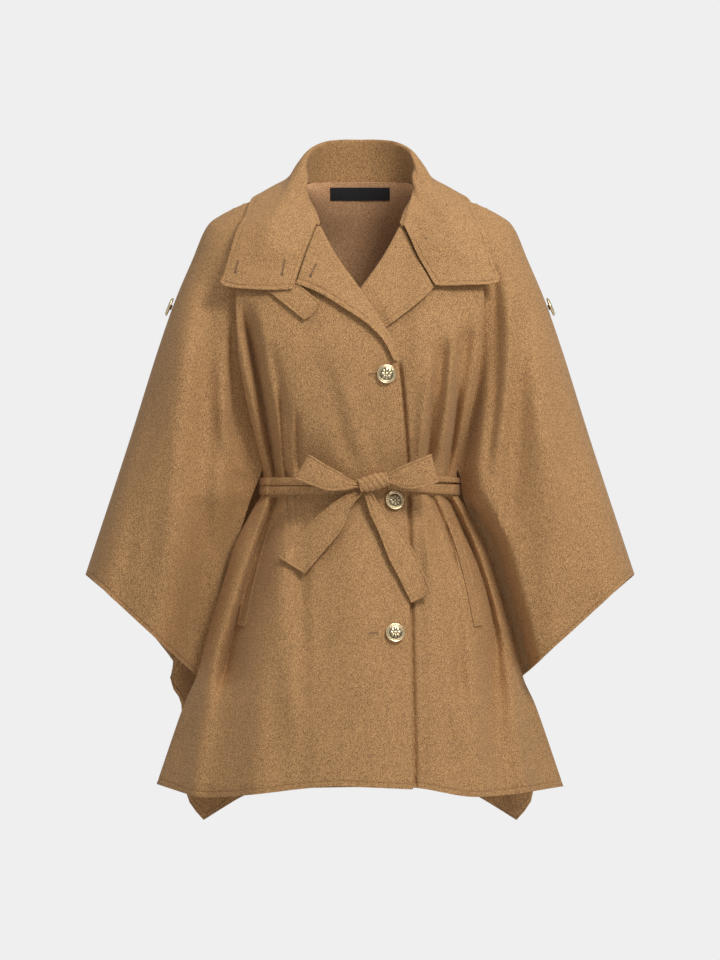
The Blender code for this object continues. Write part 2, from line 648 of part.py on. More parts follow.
def half_back(side):
    """One half of the back in millimetres, from its middle out to the overarm seam."""
    rows = row_shares()
    corner = Line(BACK_CORNER_TOP)
    corner_neck = Line([BACK_NECK[0], BACK_NECK[1], BACK_CORNER_TOP[0]])
    wing_neck = Line([BACK_CORNER_TOP[0], BACK_NECK[3]])
    inner = patch(Line(BACK_EDGE), corner, corner_neck, Line(BACK_HEM),
                  np.linspace(0, 1, BACK_BODY_COLUMNS), rows)
    wing = patch(corner, RIDGE_LINE, wing_neck, Line(BACK_SIDE[side]),
                 closing_shares(BACK_WING_COLUMNS), rows)
    xz = np.concatenate([inner, wing[:, 1:]], axis=1)
    points = joined(xz, back_depth(xz[..., 0], xz[..., 1]), side)
    over_ridge = []
    seam = SEAM_FORWARD - SEAM_OPEN / 2
    for step in WRAP_STEPS:
        line = Line(moved_in(RIDGE_LINE, seam * step)).at(rows)
        over_ridge.append(joined(line, wing_depth(line[:, 0], line[:, 1], LEFT), side))
    return np.concatenate([points, np.stack(over_ridge, axis=1)], axis=1)


def build_back():
    """The back, one panel with both wings' back halves."""
    left = half_back(LEFT)
    right = half_back(RIGHT)[:, :0:-1]
    return cloth_sheet("back", np.concatenate([right, left], axis=1), backward)


def collar_path(section):
    """The points across the collar: up the stand, round the fold and down the fall."""
    seam, roll, mid, edge = (np.array(point, dtype=float) for point in section)
    out = mid - roll
    out[2] = 0
    out = out / np.linalg.norm(out) * COLLAR_ROLL
    up = np.array([0, 0, COLLAR_ROLL * 0.6])
    stand_mid = (seam + roll) / 2
    return Line([seam, stand_mid - up * 0.3, roll - out * 0.5 - up, roll + out * 0.2,
                 roll + out * 1.4 - up * 1.3, (roll + mid) / 2 + out * 0.6, mid, (mid + edge) / 2, edge])


def collar_sections(side):
    """Half the collar's sections, with the leaf seated in front of the chest."""
    seated = []
    for section in COLLAR_BACK + COLLAR_FRONT[side]:
        points = []
        for place, point in enumerate(section):
            x, y, z = point
            if place >= 2 and z < 0 and y < 0:
                on_chest = chest_depth(np.array([float(x)]), np.array([float(z)]), RIGHT)[0]
                y = min(y, on_chest - COLLAR_LIFT)
            points.append((side * x, y, z))
        seated.append(CollarSection(*points))
    return seated


def build_collar():
    """Stand and fall in one wall, from one front corner round the neck to the other."""
    right = collar_sections(RIGHT)
    left = collar_sections(LEFT)
    sections = right[:0:-1] + left
    rings = np.stack([collar_path(section).at(COLLAR_RINGS) for section in sections])
    along = np.linspace(0, 1, COLLAR_COLUMNS + 1)
    columns = np.stack([Line(rings[:, step]).at(along) for step in range(len(COLLAR_RINGS))], axis=1)
    return cloth_sheet("collar", columns, lambda centre: Vector((centre.x, centre.y - 0.02, 0.05)), wall=WALL)


def build_lapel(name, side, front):
    """One lapel, turned back over its front along the fold edge."""
    lapel = LAPELS[side]
    u = np.linspace(0, 1, LAPEL_COLUMNS)
    v = np.linspace(0, 1, LAPEL_ROWS)
    xz = patch(Line(lapel.roll), Line(lapel.outer), Line(lapel.top), Line(lapel.low), u, v)
    inside = xz[..., 0] + LAPEL_SAMPLE * (1 - u)[None, :]
    base = front.seat(side * inside, xz[..., 1], 0, 0)
    opening = np.sqrt(smooth_step((v + LAPEL_TOP_RISE) * 2))
    lift = WALL + LAPEL_SEAT + LAPEL_RISE * smooth_step(u)[None, :] * opening[:, None]
    if side == LEFT:
        over_edge = -edge_x(xz[..., 1])
        under = smooth_step((over_edge + LAPEL_FREE - xz[..., 0]) / LAPEL_FREE_FADE)
        lift = lift * (1 - under) + (WALL + LAPEL_SEAT) * under
    points = joined(xz, base - lift, side)
    curl = points[:, :1].copy()
    curl[:, 0, 0] -= side * LAPEL_CURL
    curl[:, 0, 1] = base[:, 0] - LAPEL_CURL_SEAT
    return cloth_sheet(name, np.concatenate([curl, points], axis=1), forward)


def strip(axis, half_width, steps, across=2, tip=0.0):
    """(x, z) places of a flat strip along an axis, with its last corners drawn in by tip."""
    line = Line(axis)
    shares = np.linspace(0, 1, steps)
    places = line.at(shares)
    along = np.gradient(places, axis=0)
    along /= np.linalg.norm(along, axis=1)[:, None]
    sideways = np.stack([-along[:, 1], along[:, 0]], axis=1)
    left_over = (1 - shares) * line.lengths[-1]
    width = half_width
    if tip:
        width = half_width * np.sqrt(1 - TAB_TIP_DRAW * np.clip(1 - left_over / tip, 0, 1) ** 2)
    offsets = np.linspace(-1, 1, across + 1)
    return places[:, None] + sideways[:, None] * (offsets[None, :, None] * np.reshape(width, (-1, 1, 1)))


def build_throat_tab(chest):
    """The short tab under the right collar leaf."""
    xz = strip(TAB_AXIS, TAB_HALF_WIDTH, TAB_STEPS, across=TAB_ACROSS, tip=TAB_TIP_LENGTH)
    y = chest.seat(RIGHT * xz[..., 0], xz[..., 1], WALL)
    return cloth_sheet("throat_tab", joined(xz, y, RIGHT), forward)


def build_welt(name, side, skirt):
    """A narrow slanted welt at the pocket's mouth."""
    xz = strip(WELT_LINE, WELT_HALF_WIDTH, WELT_STEPS)
    y = skirt.seat(side * xz[..., 0], xz[..., 1], WELT_WALL, WELT_SEAT)
    return cloth_sheet(name, joined(xz, y, side), forward, wall=WELT_WALL, colour=CAMEL_DARK)


def build_label():
    """A bare woven label inside the back of the neck."""
    width, height = LABEL_SIZE
    x, z = np.meshgrid(np.linspace(-width / 2, width / 2, LABEL_COLUMNS),
                       np.linspace(LABEL_TOP_Z, LABEL_TOP_Z - height, LABEL_ROWS))
    y = back_depth(np.abs(x), z) - LABEL_SEAT
    return cloth_sheet("label", np.stack([x, y, z], axis=-1), forward, wall=LABEL_WALL, colour=BLACK,
                       roughness=0.8)


def build_belt_stretch(stretch, body):
    """One fold of the belt, from the bow round to the side.

    The fronts' middles overlap, so both sides take the right front's form, which lies further forward.
    """
    share = np.linspace(0, 1, BELT_STEPS)
    across = np.linspace(0, 1, BELT_ACROSS)
    top = stretch.top + (stretch.side_top - stretch.top) * share
    low = stretch.low + (stretch.side_low - stretch.low) * share
    z = top[:, None] + (low - top)[:, None] * across[None, :]
    flat = BELT_STEPS - len(BELT_TURN)
    x = np.repeat(np.linspace(stretch.x_from, BELT_TURN_X, flat)[:, None], len(across), axis=1)
    y = body.seat(-x, z[:flat], 0, BELT_LIFT)
    slope = np.gradient(y, axis=0) / np.gradient(x, axis=0)
    stand = BELT_WALL / np.sqrt(1 + slope ** 2)
    out_x = x + stand * slope
    out_y = y - stand
    turn = np.array(BELT_TURN)[:, None] * math.pi / 2
    turn_x = out_x[-1] + (BELT_SIDE[0] - out_x[-1]) * np.sin(turn)
    turn_y = BELT_SIDE[1] + (out_y[-1] - BELT_SIDE[1]) * np.cos(turn)
    out_x = np.concatenate([out_x, turn_x])
    out_y = np.concatenate([out_y, turn_y]) - BELT_BULGE * np.sin(across * math.pi)[None, :]
    points = np.stack([stretch.side * out_x, out_y, z], axis=-1)
    return cloth_sheet(stretch.name, points, lambda centre: Vector((centre.x, centre.y - 0.02, 0)),
                       wall=BELT_WALL)


def build_belt_back():
    """The belt's stretch round the wearer's back, inside the cape."""
    half = Line(BELT_BACK).at(np.linspace(0, 1, BELT_BACK_STEPS))
    path = np.concatenate([half * np.array([-1, 1]), half[-2::-1]])
    top, low = BELT_BACK_Z
    z = np.linspace(top, low, 3)
    points = np.stack([np.repeat(path[:, None, 0], 3, axis=1), np.repeat(path[:, None, 1], 3, axis=1),
                       np.repeat(z[None, :], len(path), axis=0)], axis=-1)
    return cloth_sheet("belt_back", points, lambda centre: Vector((centre.x, centre.y, 0)), wall=BELT_WALL)


def ribbon_points(rungs, steps, across):
    """A grid of points along a row of rungs; lift is measured forward from the belt's front."""
    belt_front = FRONT_LEVELS.read("centre", WAIST_Z) - BELT_LIFT - BELT_WALL
    first = Line([(rung.ax, belt_front - rung.lift, rung.az) for rung in rungs])
    last = Line([(rung.bx, belt_front - rung.lift, rung.bz) for rung in rungs])
    shares = np.linspace(0, 1, steps)
    blend = np.linspace(0, 1, across)[None, :, None]
    return first.at(shares)[:, None] * (1 - blend) + last.at(shares)[:, None] * blend


def build_loop(name, rungs):
    """One loop of the bow: out from the knot and back behind itself."""
    points = ribbon_points(rungs, LOOP_STEPS, RIBBON_ACROSS)
    middle = points[:, :, 1].mean() * MM
    return cloth_sheet(name, points, lambda centre: Vector((0, centre.y - middle, 0)), wall=RIBBON_WALL)


def build_tail(name, rungs, skirt):
    """One hanging end of the belt, in front of the skirt.

    Past the right front's edge it goes on in that front's form, mirrored, and so stands off the left front.
    """
    points = ribbon_points(rungs, TAIL_STEPS, RIBBON_ACROSS)
    lifts = Line([(rung.lift, 0) for rung in rungs]).at(np.linspace(0, 1, TAIL_STEPS))[:, :1]
    right_x = np.where(points[..., 0] > OVERLAP_END, -points[..., 0], points[..., 0])
    points[..., 1] = skirt.seat(right_x, points[..., 2], RIBBON_WALL) - lifts
    return cloth_sheet(name, points, forward, wall=RIBBON_WALL)


def build_knot():
    """The knot, a short creased sleeve of the belt that the loops go into."""
    half_width, half_depth, half_height = KNOT_HALF
    tilt = math.radians(KNOT_TILT)
    centre_y = FRONT_LEVELS.read("centre", WAIST_Z) - BELT_LIFT - BELT_WALL - KNOT_LIFT
    along, around = np.meshgrid(np.linspace(-1, 1, KNOT_STEPS), np.linspace(0, 2 * math.pi, KNOT_AROUND),
                                indexing="ij")
    creases = KNOT_CREASE / half_height * np.cos(along * KNOT_TWIST + around) ** 2
    swell = 1 - KNOT_TAPER * along ** 2 - creases
    depth = half_depth * swell * np.sign(np.cos(around)) * np.abs(np.cos(around)) ** KNOT_SQUARE
    height = half_height * swell * np.sign(np.sin(around)) * np.abs(np.sin(around)) ** KNOT_SQUARE
    x = KNOT_CENTRE[0] + along * half_width * math.cos(tilt) - height * math.sin(tilt)
    z = KNOT_CENTRE[1] + along * half_width * math.sin(tilt) + height * math.cos(tilt)
    points = np.stack([x, centre_y - depth, z], axis=-1)
    middle = Vector((KNOT_CENTRE[0], centre_y, KNOT_CENTRE[1])) * MM
    return cloth_sheet("bow_knot", points, lambda centre: centre - middle, wall=RIBBON_WALL, closed=True)


def button_mesh():
    """A domed button with a rim and a shank, its seat at z = 0 and its face up."""
    radius, height = BUTTON_RADIUS, BUTTON_HEIGHT
    turned = bmesh.new()
    verts = [turned.verts.new((share * radius * MM, 0, rise * height * MM)) for share, rise in BUTTON_PROFILE]
    for a, b in zip(verts, verts[1:]):
        turned.edges.new((a, b))
    mesh = bpy.data.meshes.new("button")
    turned.to_mesh(mesh)
    turned.free()
    return mesh


def build_button(name, place, axis):
    """A button seated at a place, facing along an axis."""
    thing = add_object(name, button_mesh(), colour=GOLD, roughness=0.25, metallic=1.0)
    screw = thing.modifiers.new("turned", "SCREW")
    screw.steps = BUTTON_TURNS
    screw.render_steps = BUTTON_TURNS
    screw.use_merge_vertices = True
    screw.merge_threshold = WELD
    thing.rotation_euler = Vector(axis).to_track_quat("Z", "Y").to_euler()
    thing.location = Vector(place) * MM
    return thing


def build_front_buttons(front):
    """Three buttons down the right front."""
    for name, (x, z) in FRONT_BUTTONS.items():
        place, normal = front.hit(x, z)
        build_button(name, place / MM + normal * BUTTON_SEAT, normal)


def build_shoulder_buttons():
    """A button on each overarm ridge."""
    for name, side in (("shoulder_button_right", RIGHT), ("shoulder_button_left", LEFT)):
        nearest = np.abs(RIDGE_POINTS[:, 1] - SHOULDER_BUTTON_Z).argmin()
        place = RIDGE_POINTS[nearest]
        normal = Vector((side * SHOULDER_BUTTON_AXIS[0], 0, SHOULDER_BUTTON_AXIS[1])).normalized()
        centre = Vector((side * place[0], ridge_y(RIDGE_SHARES[nearest]), place[1]))
        build_button(name, centre + normal * BUTTON_SEAT, normal)


def main():
    """Builds the cape's pieces in the order in which they are put together."""
    for thing in list(bpy.data.objects):
        bpy.data.objects.remove(thing)
    bpy.context.scene.collection.children.link(bpy.data.collections.new("wool_cape"))
    front_right = build_front("front_right", RIGHT)
    front_left = build_front("front_left", LEFT)
    right_face = Face(front_right, RIGHT)
    left_face = Face(front_left, LEFT)
    build_back()
    build_collar()
    build_lapel("lapel_right", RIGHT, right_face)
    build_lapel("lapel_left", LEFT, left_face)
    build_throat_tab(right_face)
    build_label()
    build_welt("pocket_welt_right", RIGHT, right_face)
    build_welt("pocket_welt_left", LEFT, left_face)
    for stretch in BELT_STRETCHES:
        build_belt_stretch(stretch, right_face)
    build_belt_back()
    build_knot()
    build_loop("bow_loop_right", BOW_LOOP_RIGHT)
    build_loop("bow_loop_left", BOW_LOOP_LEFT)
    build_tail("bow_tail_right", BOW_TAIL_RIGHT, right_face)
    build_tail("bow_tail_left", BOW_TAIL_LEFT, right_face)
    build_front_buttons(right_face)
    build_shoulder_buttons()


main()
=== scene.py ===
"""Dresses the belted wool cape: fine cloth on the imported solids' form, sewing, buttons, finishes and studio.

The frame is in metres with +Z up, and the wearer faces -Y. The tables below are in millimetres and give one
half of the cape: x is measured outward from the middle, and the side's sign mirrors it.
"""

import json
import logging
import math
from collections.abc import Callable, Sequence
from dataclasses import dataclass
from enum import Enum
from typing import TypeVar

import bpy
import numpy as np
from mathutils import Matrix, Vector
from mathutils.bvhtree import BVHTree

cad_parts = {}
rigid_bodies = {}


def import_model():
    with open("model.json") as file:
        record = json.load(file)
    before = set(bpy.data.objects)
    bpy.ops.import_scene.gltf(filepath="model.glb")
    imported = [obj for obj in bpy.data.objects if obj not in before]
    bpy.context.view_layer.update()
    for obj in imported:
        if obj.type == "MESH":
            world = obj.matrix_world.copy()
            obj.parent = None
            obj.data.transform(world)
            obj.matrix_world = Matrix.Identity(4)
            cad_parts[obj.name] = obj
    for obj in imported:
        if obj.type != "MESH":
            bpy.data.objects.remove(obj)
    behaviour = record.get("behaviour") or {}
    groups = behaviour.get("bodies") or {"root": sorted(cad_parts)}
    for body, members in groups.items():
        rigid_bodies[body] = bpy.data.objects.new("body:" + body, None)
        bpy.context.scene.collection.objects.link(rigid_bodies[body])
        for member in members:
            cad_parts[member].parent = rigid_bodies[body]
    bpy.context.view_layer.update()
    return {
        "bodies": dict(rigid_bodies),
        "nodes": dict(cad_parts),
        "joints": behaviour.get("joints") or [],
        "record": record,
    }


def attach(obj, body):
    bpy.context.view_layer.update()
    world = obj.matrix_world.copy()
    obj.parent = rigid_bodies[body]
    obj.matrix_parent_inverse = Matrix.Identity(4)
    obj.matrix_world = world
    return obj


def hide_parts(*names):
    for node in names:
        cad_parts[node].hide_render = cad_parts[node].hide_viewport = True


MM = 0.001
WELD = 0.000002
Outward = Callable[[np.ndarray], np.ndarray]
Value = TypeVar("Value")
Rows = tuple[tuple[float, ...], ...]
LOG = logging.getLogger("wool_cape")


class Side(Enum):
    """The wearer's side."""

    RIGHT = -1
    LEFT = 1

    @property
    def word(self) -> str:
        """The side as it stands in the pieces' names."""
        return self.name.lower()

    def pick(self, right: Value, left: Value) -> Value:
        """Whichever of two values belongs to this side."""
        return right if self is Side.RIGHT else left


class Hang(Enum):
    """How a sheet of cloth is held."""

    HUNG = "hung"
    DRAPED = "draped"
    FOLDED = "folded"
    LAID = "laid"


# ---- Curves and tables ----
class Curve:
    """A smooth curve through a few points, read by its share of length."""

    STEPS = 16

    def __init__(self, points: Sequence[Sequence[float]]) -> None:
        """Keeps the curve's fine points.

        Args:
            points: the places that the curve passes through.
        """
        given = np.array(points, dtype=float)
        padded = np.vstack([2 * given[0] - given[1], given, 2 * given[-1] - given[-2]])
        t = np.linspace(0, 1, self.STEPS, endpoint=False)[:, None]
        spans = [
            0.5 * (2 * b + (c - a) * t + (2 * a - 5 * b + 4 * c - d) * t**2 + (3 * b - a - 3 * c + d) * t**3)
            for a, b, c, d in zip(padded, padded[1:], padded[2:], padded[3:])
        ]
        self.points = np.vstack(spans + [given[-1:]])
        steps = np.linalg.norm(np.diff(self.points, axis=0), axis=1)
        self.lengths = np.concatenate([[0.0], np.cumsum(steps)])

    @property
    def length(self) -> float:
        """The curve's whole length."""
        return float(self.lengths[-1])

    def at(self, share: np.ndarray | float) -> np.ndarray:
        """Places at shares of the length.

        Args:
            share: one share or an array of them, from 0 to 1.

        Returns:
            The places, with the coordinates on a last axis.
        """
        place = np.asarray(share, dtype=float) * self.length
        return np.stack([np.interp(place, self.lengths, column) for column in self.points.T], axis=-1)


class SplitCurve:
    """Two curves end to end that meet at a fixed share of the whole."""

    def __init__(self, upper: Rows, lower: Rows, split: float) -> None:
        """Keeps both curves.

        Args:
            upper: points of the first curve.
            lower: points of the second curve.
            split: the share of the whole where they meet.
        """
        self.upper = Curve(upper)
        self.lower = Curve(lower)
        self.split = split

    def at(self, share: np.ndarray | float) -> np.ndarray:
        """Places along the whole.

        Args:
            share: shares of its length.

        Returns:
            The places, with the coordinates on a last axis.
        """
        share = np.asarray(share, dtype=float)
        above = self.upper.at(np.clip(share / self.split, 0, 1))
        below = self.lower.at(np.clip((share - self.split) / (1 - self.split), 0, 1))
        return np.where((share <= self.split)[..., None], above, below)


Border = Curve | SplitCurve


def smooth_step(value: np.ndarray | float) -> np.ndarray:
    """Rises from 0 to 1 with no corner at either end."""
    value = np.clip(value, 0, 1)
    return value * value * (3 - 2 * value)


def read_levels(rows: Rows, column: int, z: np.ndarray) -> np.ndarray:
    """Reads one column of a table of sizes by height, smoothly between its rows.

    Args:
        rows: the table, with the height first in each row.
        column: which column to read.
        z: the heights.

    Returns:
        The sizes at those heights.
    """
    table = np.array(sorted(rows), dtype=float)
    heights, values = table[:, 0], table[:, column]
    slopes = np.gradient(values, heights)
    z = np.clip(z, heights[0], heights[-1])
    index = np.clip(np.searchsorted(heights, z) - 1, 0, len(heights) - 2)
    span = heights[index + 1] - heights[index]
    t = (z - heights[index]) / span
    return ((2 * t**3 - 3 * t**2 + 1) * values[index] + (t**3 - 2 * t**2 + t) * span * slopes[index]
            + (3 * t**2 - 2 * t**3) * values[index + 1] + (t**3 - t**2) * span * slopes[index + 1])


def patch(first: Border, last: Border, top: Border, bottom: Border, u: np.ndarray,
          v: np.ndarray) -> np.ndarray:
    """Places (x, z) between four border curves.

    Args:
        first: the border where u is 0, read by v.
        last: the border where u is 1, read by v.
        top: the border where v is 0, read by u.
        bottom: the border where v is 1, read by u.
        u: each point's share across.
        v: each point's share down.

    Returns:
        A grid of places.
    """
    a, b = u[..., None], v[..., None]
    sides = (1 - a) * first.at(v) + a * last.at(v)
    ends = (1 - b) * top.at(u) + b * bottom.at(u)
    corners = ((1 - a) * (1 - b) * first.at(0) + a * (1 - b) * last.at(0)
               + (1 - a) * b * first.at(1) + a * b * last.at(1))
    return sides + ends - corners


@dataclass(frozen=True)
class Fold:
    """One fold: x and z at its top, middle and low end, width and depth (forward is positive)."""

    x_top: float
    z_top: float
    x_mid: float
    z_mid: float
    x_low: float
    z_low: float
    width: float
    depth: float
    power: float = 2.0
    fade_top: float = 0.2
    fade_low: float = 0.2

    def shift(self, x: np.ndarray, z: np.ndarray) -> np.ndarray:
        """How far the fold moves the cloth forward.

        Args:
            x: outward places.
            z: heights.

        Returns:
            Millimetres forward at each place.
        """
        line = np.polyfit([self.z_top, self.z_mid, self.z_low], [self.x_top, self.x_mid, self.x_low], 2)
        run = (self.z_top - z) / (self.z_top - self.z_low)
        fade = smooth_step(run / self.fade_top) * smooth_step((1 - run) / self.fade_low)
        off = np.abs(x - np.polyval(line, z)) / self.width
        return self.depth * fade * np.exp(-off**self.power)


# ---- The cape's form ----
@dataclass(frozen=True)
class CapeForm:
    """The lines, depths and folds that give the whole cape its worn shape."""

    ridge_steps: int = 300
    seam_steps: int = 24
    split: float = 0.475
    front_round: float = 62.0
    wing_bow_right: float = 0.5
    wing_bow_left: float = 0.19
    back_round: float = 85.0
    seam_forward: float = 4.0
    underlap_drop: float = 7.5
    underlap_from: float = 95.0
    underlap_full: float = 52.0
    ridge: Rows = ((74, 13), (139, -1), (183, -21), (201, -38), (218, -78), (240, -130), (265, -202),
                   (302, -320), (357, -487))
    ridge_depths: Rows = ((0, 4), (0.2, 8), (0.4, 4), (1, -5))
    edge_top: Rows = ((56, -32), (34, -74), (1, -120), (-38, -182), (-49, -215), (-55, -262), (-60, -373))
    edge_low: Rows = ((-60, -373), (-65, -526), (-69, -766))
    side_top: Rows = ((67, 0), (112, -27), (146, -70), (160, -113), (161, -151), (157, -209), (148, -259),
                      (137, -305), (126, -350))
    side_low: Rows = ((126, -350), (126.5, -361), (129, -384), (139, -400), (162, -445), (176, -489),
                      (199, -567), (213, -619), (231, -660), (265, -759))
    wing_top: Rows = ((69, 3), (116, -24), (149, -67), (160, -113), (158, -151), (152, -209), (143, -259),
                      (132, -305), (126, -350))
    wing_low_right: Rows = ((126, -350), (131, -362), (143, -393), (155, -430), (166, -468), (179, -550),
                            (193, -637))
    wing_low_left: Rows = ((126, -350), (130, -362), (133, -384), (143, -412), (155, -440), (177, -540),
                           (193, -637))
    wing_hem: Rows = ((193, -637), (213, -617), (285, -552))
    hem_right: Rows = ((-69, -766), (0, -763), (36, -762), (83, -766), (130, -772), (178, -776), (211, -776),
                       (232, -770), (265, -759))
    hem_left: Rows = ((-69, -764), (0, -763), (72, -764), (128, -774), (156, -776), (203, -772), (265, -762))
    back_middle: Rows = ((0, 23.5), (0, -200), (0, -450), (0, -762))
    back_neck: Rows = ((0, 23.5), (30, 23.5), (66, 21), (74, 13))
    back_corner: Rows = ((48, 23), (92, -60), (120, -160), (140, -300), (160, -480), (203, -806))
    back_hem: Rows = ((0, -762), (60, -762), (110, -765), (150, -774), (203, -806))
    back_side_right: Rows = ((203, -806), (222, -782), (230, -745), (231, -700), (232, -655), (245, -632),
                             (244, -616), (243, -600), (285, -549), (357, -487))
    back_side_left: Rows = ((203, -806), (222, -782), (226, -745), (222, -700), (214, -655), (206, -622),
                            (238, -590), (285, -549), (357, -487))
    # height, middle, side, wing's inner edge, wing's outer part
    front_levels: Rows = (
        (20, -40, -28, -28, -24), (-50, -76, -62, -62, -55), (-113, -104, -84, -70, -74),
        (-200, -127, -90, -64, -86),
        (-300, -125, -68, -42, -88), (-350, -115, -46, -32, -88), (-373, -112, -40, -30, -88),
        (-450, -128, -40, -18, -86), (-600, -156, -36, -8, -82), (-770, -186, -28, -4, -80))
    back_levels: Rows = ((23, 58), (-20, 74), (-60, 92), (-130, 110), (-220, 119), (-373, 122), (-600, 136),
                         (-806, 152))
    body_bow: float = 2.2
    side_roll: float = 7.0
    side_roll_width: float = 12.0
    side_roll_from: float = 110.0
    side_roll_fade: float = 60.0
    folds_from: float = 60.0
    folds_fade: float = 26.0
    back_side_drop: float = 46.0
    back_side_drop_x: float = 250.0
    body_folds_right: tuple[Fold, ...] = (
        Fold(152, -120, 126, -260, 106, -362, 11, -15), Fold(134, -140, 112, -260, 92, -362, 9, 2),
        Fold(118, -180, 98, -280, 80, -362, 8, -6), Fold(96, -386, 143, -505, 176, -660, 15, -20),
        Fold(78, -388, 108, -500, 122, -900, 22, 9), Fold(122, -396, 172, -540, 222, -900, 15, 13),
        Fold(62, -400, 58, -560, 60, -900, 20, -6))
    body_folds_left: tuple[Fold, ...] = (
        Fold(108, -170, 98, -280, 88, -360, 9, -11), Fold(140, -150, 126, -270, 110, -360, 10, -13),
        Fold(124, -150, 112, -270, 99, -360, 8, 7), Fold(92, -190, 84, -290, 76, -360, 8, 4),
        Fold(106, -386, 150, -480, 182, -680, 13, -18), Fold(88, -388, 116, -490, 130, -680, 12, -12),
        Fold(98, -400, 134, -560, 152, -900, 18, 10), Fold(124, -396, 176, -560, 222, -900, 14, 13),
        Fold(70, -400, 72, -560, 84, -900, 18, -6))
    wing_folds_right: tuple[Fold, ...] = (
        Fold(192, -60, 206, -250, 208, -480, 20, -16), Fold(214, -100, 238, -330, 256, -700, 22, 9),
        Fold(178, -170, 180, -330, 190, -600, 13, 9), Fold(250, -200, 292, -390, 324, -640, 18, -9))
    wing_folds_left: tuple[Fold, ...] = (
        Fold(170, -60, 176, -200, 160, -380, 9, -14), Fold(210, -100, 236, -330, 254, -700, 20, 8),
        Fold(216, -100, 208, -280, 190, -460, 15, -9), Fold(246, -200, 286, -390, 314, -640, 18, -6))
    back_folds: tuple[Fold, ...] = (
        Fold(0, -120, 0, -420, 0, -900, 16, -13), Fold(40, -110, 54, -420, 64, -900, 18, 16),
        Fold(84, -90, 108, -420, 128, -900, 15, -20), Fold(126, -110, 158, -420, 186, -900, 17, 17),
        Fold(168, -120, 208, -380, 240, -760, 15, -18), Fold(214, -160, 262, -380, 306, -640, 18, 12))
    # narrow creases gathered in by the belt, and slack ones that run to the knot
    creases_right: tuple[Fold, ...] = (
        Fold(157, -120, 134, -230, 109, -364, 6.0, -20.0, 1.1, 0.3, 0.02),
        Fold(109, -255, 105, -300, 101, -364, 3.2, 3.0, 1.6, 0.3, 0.02),
        Fold(105, -230, 101, -310, 94, -364, 3.4, -9.0, 1.3, 0.35, 0.02),
        Fold(93, -285, 89, -320, 85, -364, 3.4, 3.6, 1.6, 0.4, 0.02),
        Fold(84, -262, 80, -315, 75, -364, 3.2, -9.0, 1.3, 0.4, 0.02),
        Fold(70, -310, 66, -335, 63, -362, 4.0, -2.6, 1.6),
        Fold(106, -380, 149, -503, 188, -680, 8.0, -20.0, 1.3, 0.03, 0.3),
        Fold(118, -380, 142, -464, 184, -600, 6.0, 7.0, 1.7, 0.05, 0.4),
        Fold(72, -380, 72, -415, 66, -520, 4.5, -8.0, 1.4, 0.04, 0.6),
        Fold(74, -386, 64, -540, 30, -690, 15.0, -5.0, 2.0, 0.2, 0.4),
        Fold(95, -380, 93, -405, 91, -450, 2.8, -5.5, 1.3, 0.04, 0.6),
        Fold(84, -380, 84, -400, 84, -440, 2.8, -4.0, 1.3, 0.04, 0.6),
        Fold(104, -394, 100, -530, 78, -740, 18.0, 7.0, 2.0, 0.2, 0.3))
    creases_left: tuple[Fold, ...] = (
        Fold(96, -225, 92, -290, 86, -364, 4.6, -14.0, 1.3, 0.4, 0.02),
        Fold(119, -190, 115, -270, 108, -364, 5.0, 5.0, 1.7, 0.3, 0.02),
        Fold(130, -225, 124, -290, 112, -364, 3.8, -13.0, 1.3, 0.35, 0.02),
        Fold(84, -300, 81, -335, 77, -364, 3.4, -3.6, 1.5, 0.4, 0.02),
        Fold(58, -380, 62, -425, 70, -510, 4.2, -8.0, 1.4, 0.04, 0.6),
        Fold(91, -380, 112, -428, 130, -520, 3.8, -11.0, 1.4, 0.04, 0.5),
        Fold(80, -380, 84, -420, 90, -500, 4.5, 4.0, 1.6, 0.05, 0.5),
        Fold(110, -380, 150, -462, 180, -630, 5.5, -18.0, 1.4, 0.03, 0.4),
        Fold(121, -380, 152, -458, 192, -600, 5.0, 6.5, 1.7, 0.05, 0.3),
        Fold(156, -540, 176, -640, 168, -750, 14.0, -8.0, 2.0, 0.3, 0.4),
        Fold(116, -560, 123, -650, 132, -750, 8.0, 5.0, 2.0, 0.3, 0.3))
    drags_right: tuple[Fold, ...] = (
        Fold(46, -200, 30, -280, 4, -352, 13, -3.4), Fold(20, -230, 8, -300, -8, -352, 10, 2.2),
        Fold(72, -130, 62, -200, 50, -300, 20, -3.0), Fold(-20, -260, -20, -310, -16, -352, 9, -2.0),
        Fold(40, -392, 44, -480, 46, -640, 20, -3.2), Fold(6, -400, 0, -520, -8, -700, 22, 2.4))
    drags_left: tuple[Fold, ...] = (
        Fold(72, -230, 70, -300, 68, -352, 7, -2.8), Fold(72, -130, 74, -200, 72, -300, 12, 2.2),
        Fold(50, -206, 58, -285, 63, -380, 3.0, -7.0, 1.6, 0.1, 0.01),
        Fold(63, -380, 67, -540, 72, -770, 3.0, -7.0, 1.6, 0.01, 0.01))
    wing_creases_right: tuple[Fold, ...] = (
        Fold(166, -150, 166, -230, 158, -330, 6, -5.5, 1.6),
        Fold(176, -250, 173, -312, 146, -368, 8.0, 7.0, 1.8),
        Fold(194, -170, 190, -300, 182, -400, 12.0, -5.0, 2.0, 0.4, 0.4),
        Fold(226, -190, 250, -330, 290, -520, 15, -4.0),
        Fold(206, -330, 222, -430, 246, -600, 14, 4.0), Fold(262, -300, 296, -400, 330, -520, 12, 3.0))
    wing_creases_left: tuple[Fold, ...] = (
        Fold(192, -90, 192, -228, 164, -370, 10.0, 7.0, 1.8), Fold(150, -352, 152, -400, 170, -470, 7, 4.0),
        Fold(226, -250, 250, -360, 290, -540, 16, 3.0), Fold(262, -300, 296, -400, 330, -520, 12, -2.0))

